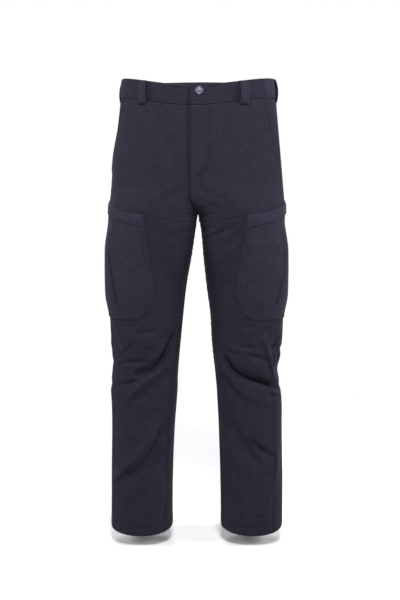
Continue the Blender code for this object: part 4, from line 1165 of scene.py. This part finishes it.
for name, side, top_g, bottom_g in LOOP_ROWS:
    where = name.split("_")[0]
    places = marks(LOOP_WIDTH, spots(LOOP_EDGE), spots(LOOP_EDGE)[::-1], 2.5)
    downs = marks(LOOP_LENGTH, (0.0, 0.4, 1.2), (0.0, 0.4, 1.2), 2.0)
    u, v = np.meshgrid(places - LOOP_WIDTH / 2, downs / LOOP_LENGTH)
    if top_g is None:
        z = rim(2.0) - 1.5 - v * LOOP_LENGTH
        halves = []
        for on in (-1, 1):
            round_ = 2.0 - np.abs(u) / girths(on, z)[1]
            halves.append((skin(on, round_, z), outward(on, round_, z)))
        base, facing = (np.where((u < 0)[..., None], right, left) for right, left in zip(*halves))
    else:
        guess = along(side, np.array(top_g), np.array(-30.0))
        z = rim(guess) - 1.5 - v * LOOP_LENGTH
        round_ = along(side, top_g + (bottom_g - top_g) * v + u, z)
        base, facing = skin(side, round_, z), outward(side, round_, z)
    bow = np.sin(np.pi * v) ** 0.6
    from_edge = LOOP_WIDTH / 2 - np.abs(u)
    tilt = np.clip(0.5 - LOOP_TILT[where] * u / LOOP_WIDTH, 0, 1)
    lift = OVER_LEG + LOOP_STAND[where] * bow * tilt
    if where == "side":
        lift = lift - SIDE_LOOP_DROP * (1 - tilt)
    outer = base + facing * (lift + LOOP_WALL + seen_edge(from_edge, LOOP_EDGE))[..., None]
    inner = base + facing * lift[..., None]
    loop = shell("belt_loop_" + name, outer, inner, np.stack([u, z], -1), loop_cloth)
    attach(loop, "root")
    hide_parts("loop_" + name)
    k = spots(LOOP_EDGE).index(4.0)
    rows = [(outer[1:-1, k], facing[1:-1, k]), (outer[1:-1, -1 - k], facing[1:-1, -1 - k])]
    for i in (2, -3):
        middle = outer[i].mean(0) + facing[i, 0] * 0.1
        rows += bar_tack(middle, facing[i, len(places) // 2], outer[i, -1] - outer[i, 0], 13.0)
    stitched(rows, "loop_stitching_" + name, 3.0)

# Waist button. A metal cap with a turned rim and a sunk plain face that is slightly domed. It sits on
# the tab; the shank that would go through the cloth is left out.
BUTTON_RADIUS = 9.2
BUTTON_HEIGHT = 3.2
BUTTON_LEVEL = -37.0
BUTTON_FROM_SIDE = 227.0
# Shares of the radius and of the height, from the middle of the back over the rim to the middle of the face.
BUTTON_PROFILE = ((0.0, 0.0), (0.5, 0.0), (0.9, 0.02), (0.97, 0.14), (1.0, 0.34), (0.995, 0.55), (0.97, 0.74),
                  (0.93, 0.86), (0.87, 0.92), (0.80, 0.90), (0.745, 0.80), (0.70, 0.72), (0.64, 0.72),
                  (0.52, 0.77), (0.36, 0.82), (0.18, 0.845), (0.0, 0.85))
BUTTON_SIDES = 72
place_z = np.array(BUTTON_LEVEL)
place_round = np.array(1.0 - BUTTON_FROM_SIDE / girths(1, place_z)[0])
centre = skin(1, place_round, place_z)
facing = outward(1, place_round, place_z)
sideways = np.cross((0.0, 0.0, 1.0), facing)
sideways /= np.linalg.norm(sideways)
upright = np.cross(facing, sideways)
cap = bmesh.new()
rings = []
for radius, height in BUTTON_PROFILE:
    base = centre + facing * (0.45 + height * (BUTTON_HEIGHT - 0.1))
    turns = np.linspace(0, 2 * np.pi, BUTTON_SIDES, endpoint=False) if radius else [0.0]
    ring = [base + BUTTON_RADIUS * radius * (sideways * np.cos(a) + upright * np.sin(a)) for a in turns]
    rings.append([cap.verts.new(point * MM) for point in ring])
for low, high in zip(rings, rings[1:]):
    for i in range(BUTTON_SIDES):
        j = (i + 1) % BUTTON_SIDES
        corners = [low[i % len(low)], low[j % len(low)], high[j % len(high)], high[i % len(high)]]
        cap.faces.new(list(dict.fromkeys(corners)))
bmesh.ops.recalc_face_normals(cap, faces=cap.faces)
mesh = bpy.data.meshes.new("tack_button")
cap.to_mesh(mesh)
cap.free()
mesh.shade_smooth()
metal, tree, shader = new_material("brushed_tack_metal")
where = add_node(tree, "TexCoord", {}).outputs["Object"]
grain = add_node(tree, "TexNoise", {"Vector": where, "Scale": 1400.0, "Detail": 3.0}).outputs["Fac"]
tone = blend(tree, grain, (0.0, (0.034, 0.036, 0.052)), (1.0, (0.070, 0.073, 0.104)))
rough = add_node(tree, "MapRange", {"Value": grain, "To Min": 0.36, "To Max": 0.52}).outputs["Result"]
dents = add_node(tree, "Bump", {"Height": grain, "Strength": 0.25, "Distance": 0.0001}).outputs["Normal"]
set_inputs(shader, {"Base Color": tone, "Metallic": 1.0, "Roughness": rough, "Normal": dents})
mesh.materials.append(metal)
button = bpy.data.objects.new("tack_button", mesh)
bpy.context.scene.collection.objects.link(button)
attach(button, "root")
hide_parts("button")

# Buttonhole. Short stitches of slightly paler thread, square to the edge of a hole that lies across the
# tab behind the button. The cloth itself is not cut.
HOLE_LENGTH = 22.0
HOLE_MIDDLE = 3.5
HOLE_STITCHES = 40
HOLE_HALF_HEIGHT = 1.1
HOLE_STITCH_LENGTH = 1.7
rows = []
for k in range(HOLE_STITCHES):
    turn = 2 * np.pi * k / HOLE_STITCHES
    x = HOLE_MIDDLE + math.cos(turn) * HOLE_LENGTH / 2
    y = math.sin(turn) * HOLE_HALF_HEIGHT
    away = np.array([math.cos(turn) * 0.6, math.sin(turn)])
    ends = []
    for r in (0.0, HOLE_STITCH_LENGTH):
        ends.append(centre + sideways * (x + away[0] * r) + upright * (y + away[1] * r) + facing * 0.75)
    rows.append((np.array(ends), np.array([facing, facing])))
stitched(rows, "buttonhole_thread", 3.0, 0.36, (0.0040, 0.0040, 0.0060))

# Studio. A pale floor just under the hems that fades into a white surround. Five round lamps light it: a
# strong one high in front, one at each side, one behind, and a weak one low in front.
FLOOR_HEIGHT = -1.085
FLOOR_REACH = 2.2
FLOOR_FADE = 1.15
SKY_FADE = (0.28, 0.6)
SKY_LEAST = 0.25
floor_mesh = bpy.data.meshes.new("floor")
corners = [(x * FLOOR_REACH, y * FLOOR_REACH, FLOOR_HEIGHT) for x, y in ((-1, -1), (1, -1), (1, 1), (-1, 1))]
floor_mesh.from_pydata(corners, [], [(0, 1, 2, 3)])


def faded(tree, value, first, last, end):
    """1 up to the first value, falling smoothly to the end at the last."""
    values = {"Value": value, "From Min": first, "From Max": last, "To Min": 1.0, "To Max": end}
    return add_node(tree, "MapRange", values, interpolation_type="SMOOTHSTEP").outputs["Result"]


paint, tree, shader = new_material("pale_floor")
where = add_node(tree, "TexCoord", {}).outputs["Object"]
away = add_node(tree, "VectorMath", {0: where}, operation="LENGTH").outputs["Value"]
set_inputs(shader, {
    "Base Color": (0.55, 0.55, 0.56, 1.0),
    "Roughness": 0.9,
    "Specular IOR Level": 0.1,
    "Alpha": faded(tree, away, FLOOR_FADE, FLOOR_REACH, 0.0),
})
floor_mesh.materials.append(paint)
floor = bpy.data.objects.new("floor", floor_mesh)
bpy.context.scene.collection.objects.link(floor)

world = bpy.data.worlds.new("studio")
bpy.context.scene.world = world
world.use_nodes = True
tree = world.node_tree
where = add_node(tree, "TexCoord", {}).outputs["Generated"]
height = add_node(tree, "SeparateXYZ", {"Vector": where}).outputs["Z"]
strength = faded(tree, height, *SKY_FADE, SKY_LEAST)
set_inputs(tree.nodes["Background"], {"Color": (1.0, 1.0, 1.0, 1.0), "Strength": strength})

# Each lamp's name, place, aim, size and power.
LIGHT_ROWS = (
    ("key", (0.15, -2.2, 1.85), (0.0, 0.0, -0.45), 0.8, 160.0),
    ("right_side", (-2.5, -0.7, 0.6), (0.0, 0.0, -0.5), 1.0, 72.0),
    ("left_side", (2.5, -0.7, 0.6), (0.0, 0.0, -0.5), 1.0, 84.0),
    ("behind", (-0.4, 2.6, 1.5), (0.0, 0.0, -0.5), 1.4, 90.0),
    ("fill", (0.0, -2.6, 0.35), (0.0, 0.0, -0.3), 1.0, 5.0),
)


def aimed(place, aim):
    """Turns something to look from one place to another."""
    away = np.array(place, float) - np.array(aim, float)
    flat = math.hypot(away[0], away[1])
    return (math.atan2(flat, away[2]), 0.0, math.atan2(away[0], -away[1]))


for name, place, aim, size, power in LIGHT_ROWS:
    lamp = bpy.data.lights.new(name, "AREA")
    lamp.shape = "DISK"
    lamp.size = size
    lamp.energy = power
    light = bpy.data.objects.new(name, lamp)
    light.location = place
    light.rotation_euler = aimed(place, aim)
    bpy.context.scene.collection.objects.link(light)

# Camera. It stands straight in front, level with the thighs and a little above the middle, and is tilted
# slightly down, as in the photograph.
PICTURE = (400, 600)
SENSOR = 36.0
CAMERA_PLACE = (0.004, -2.2, -0.30)
CAMERA_TILT = 5.4
FOCAL_PIXELS = 942.0
camera_data = bpy.data.cameras.new("camera")
camera_data.sensor_width = SENSOR
camera_data.lens = FOCAL_PIXELS / max(PICTURE) * SENSOR
camera = bpy.data.objects.new("camera", camera_data)
camera.location = CAMERA_PLACE
camera.rotation_euler = (math.radians(90.0 - CAMERA_TILT), 0.0, 0.0)
bpy.context.scene.collection.objects.link(camera)
bpy.context.scene.camera = camera
bpy.context.scene.view_settings.view_transform = "Standard"
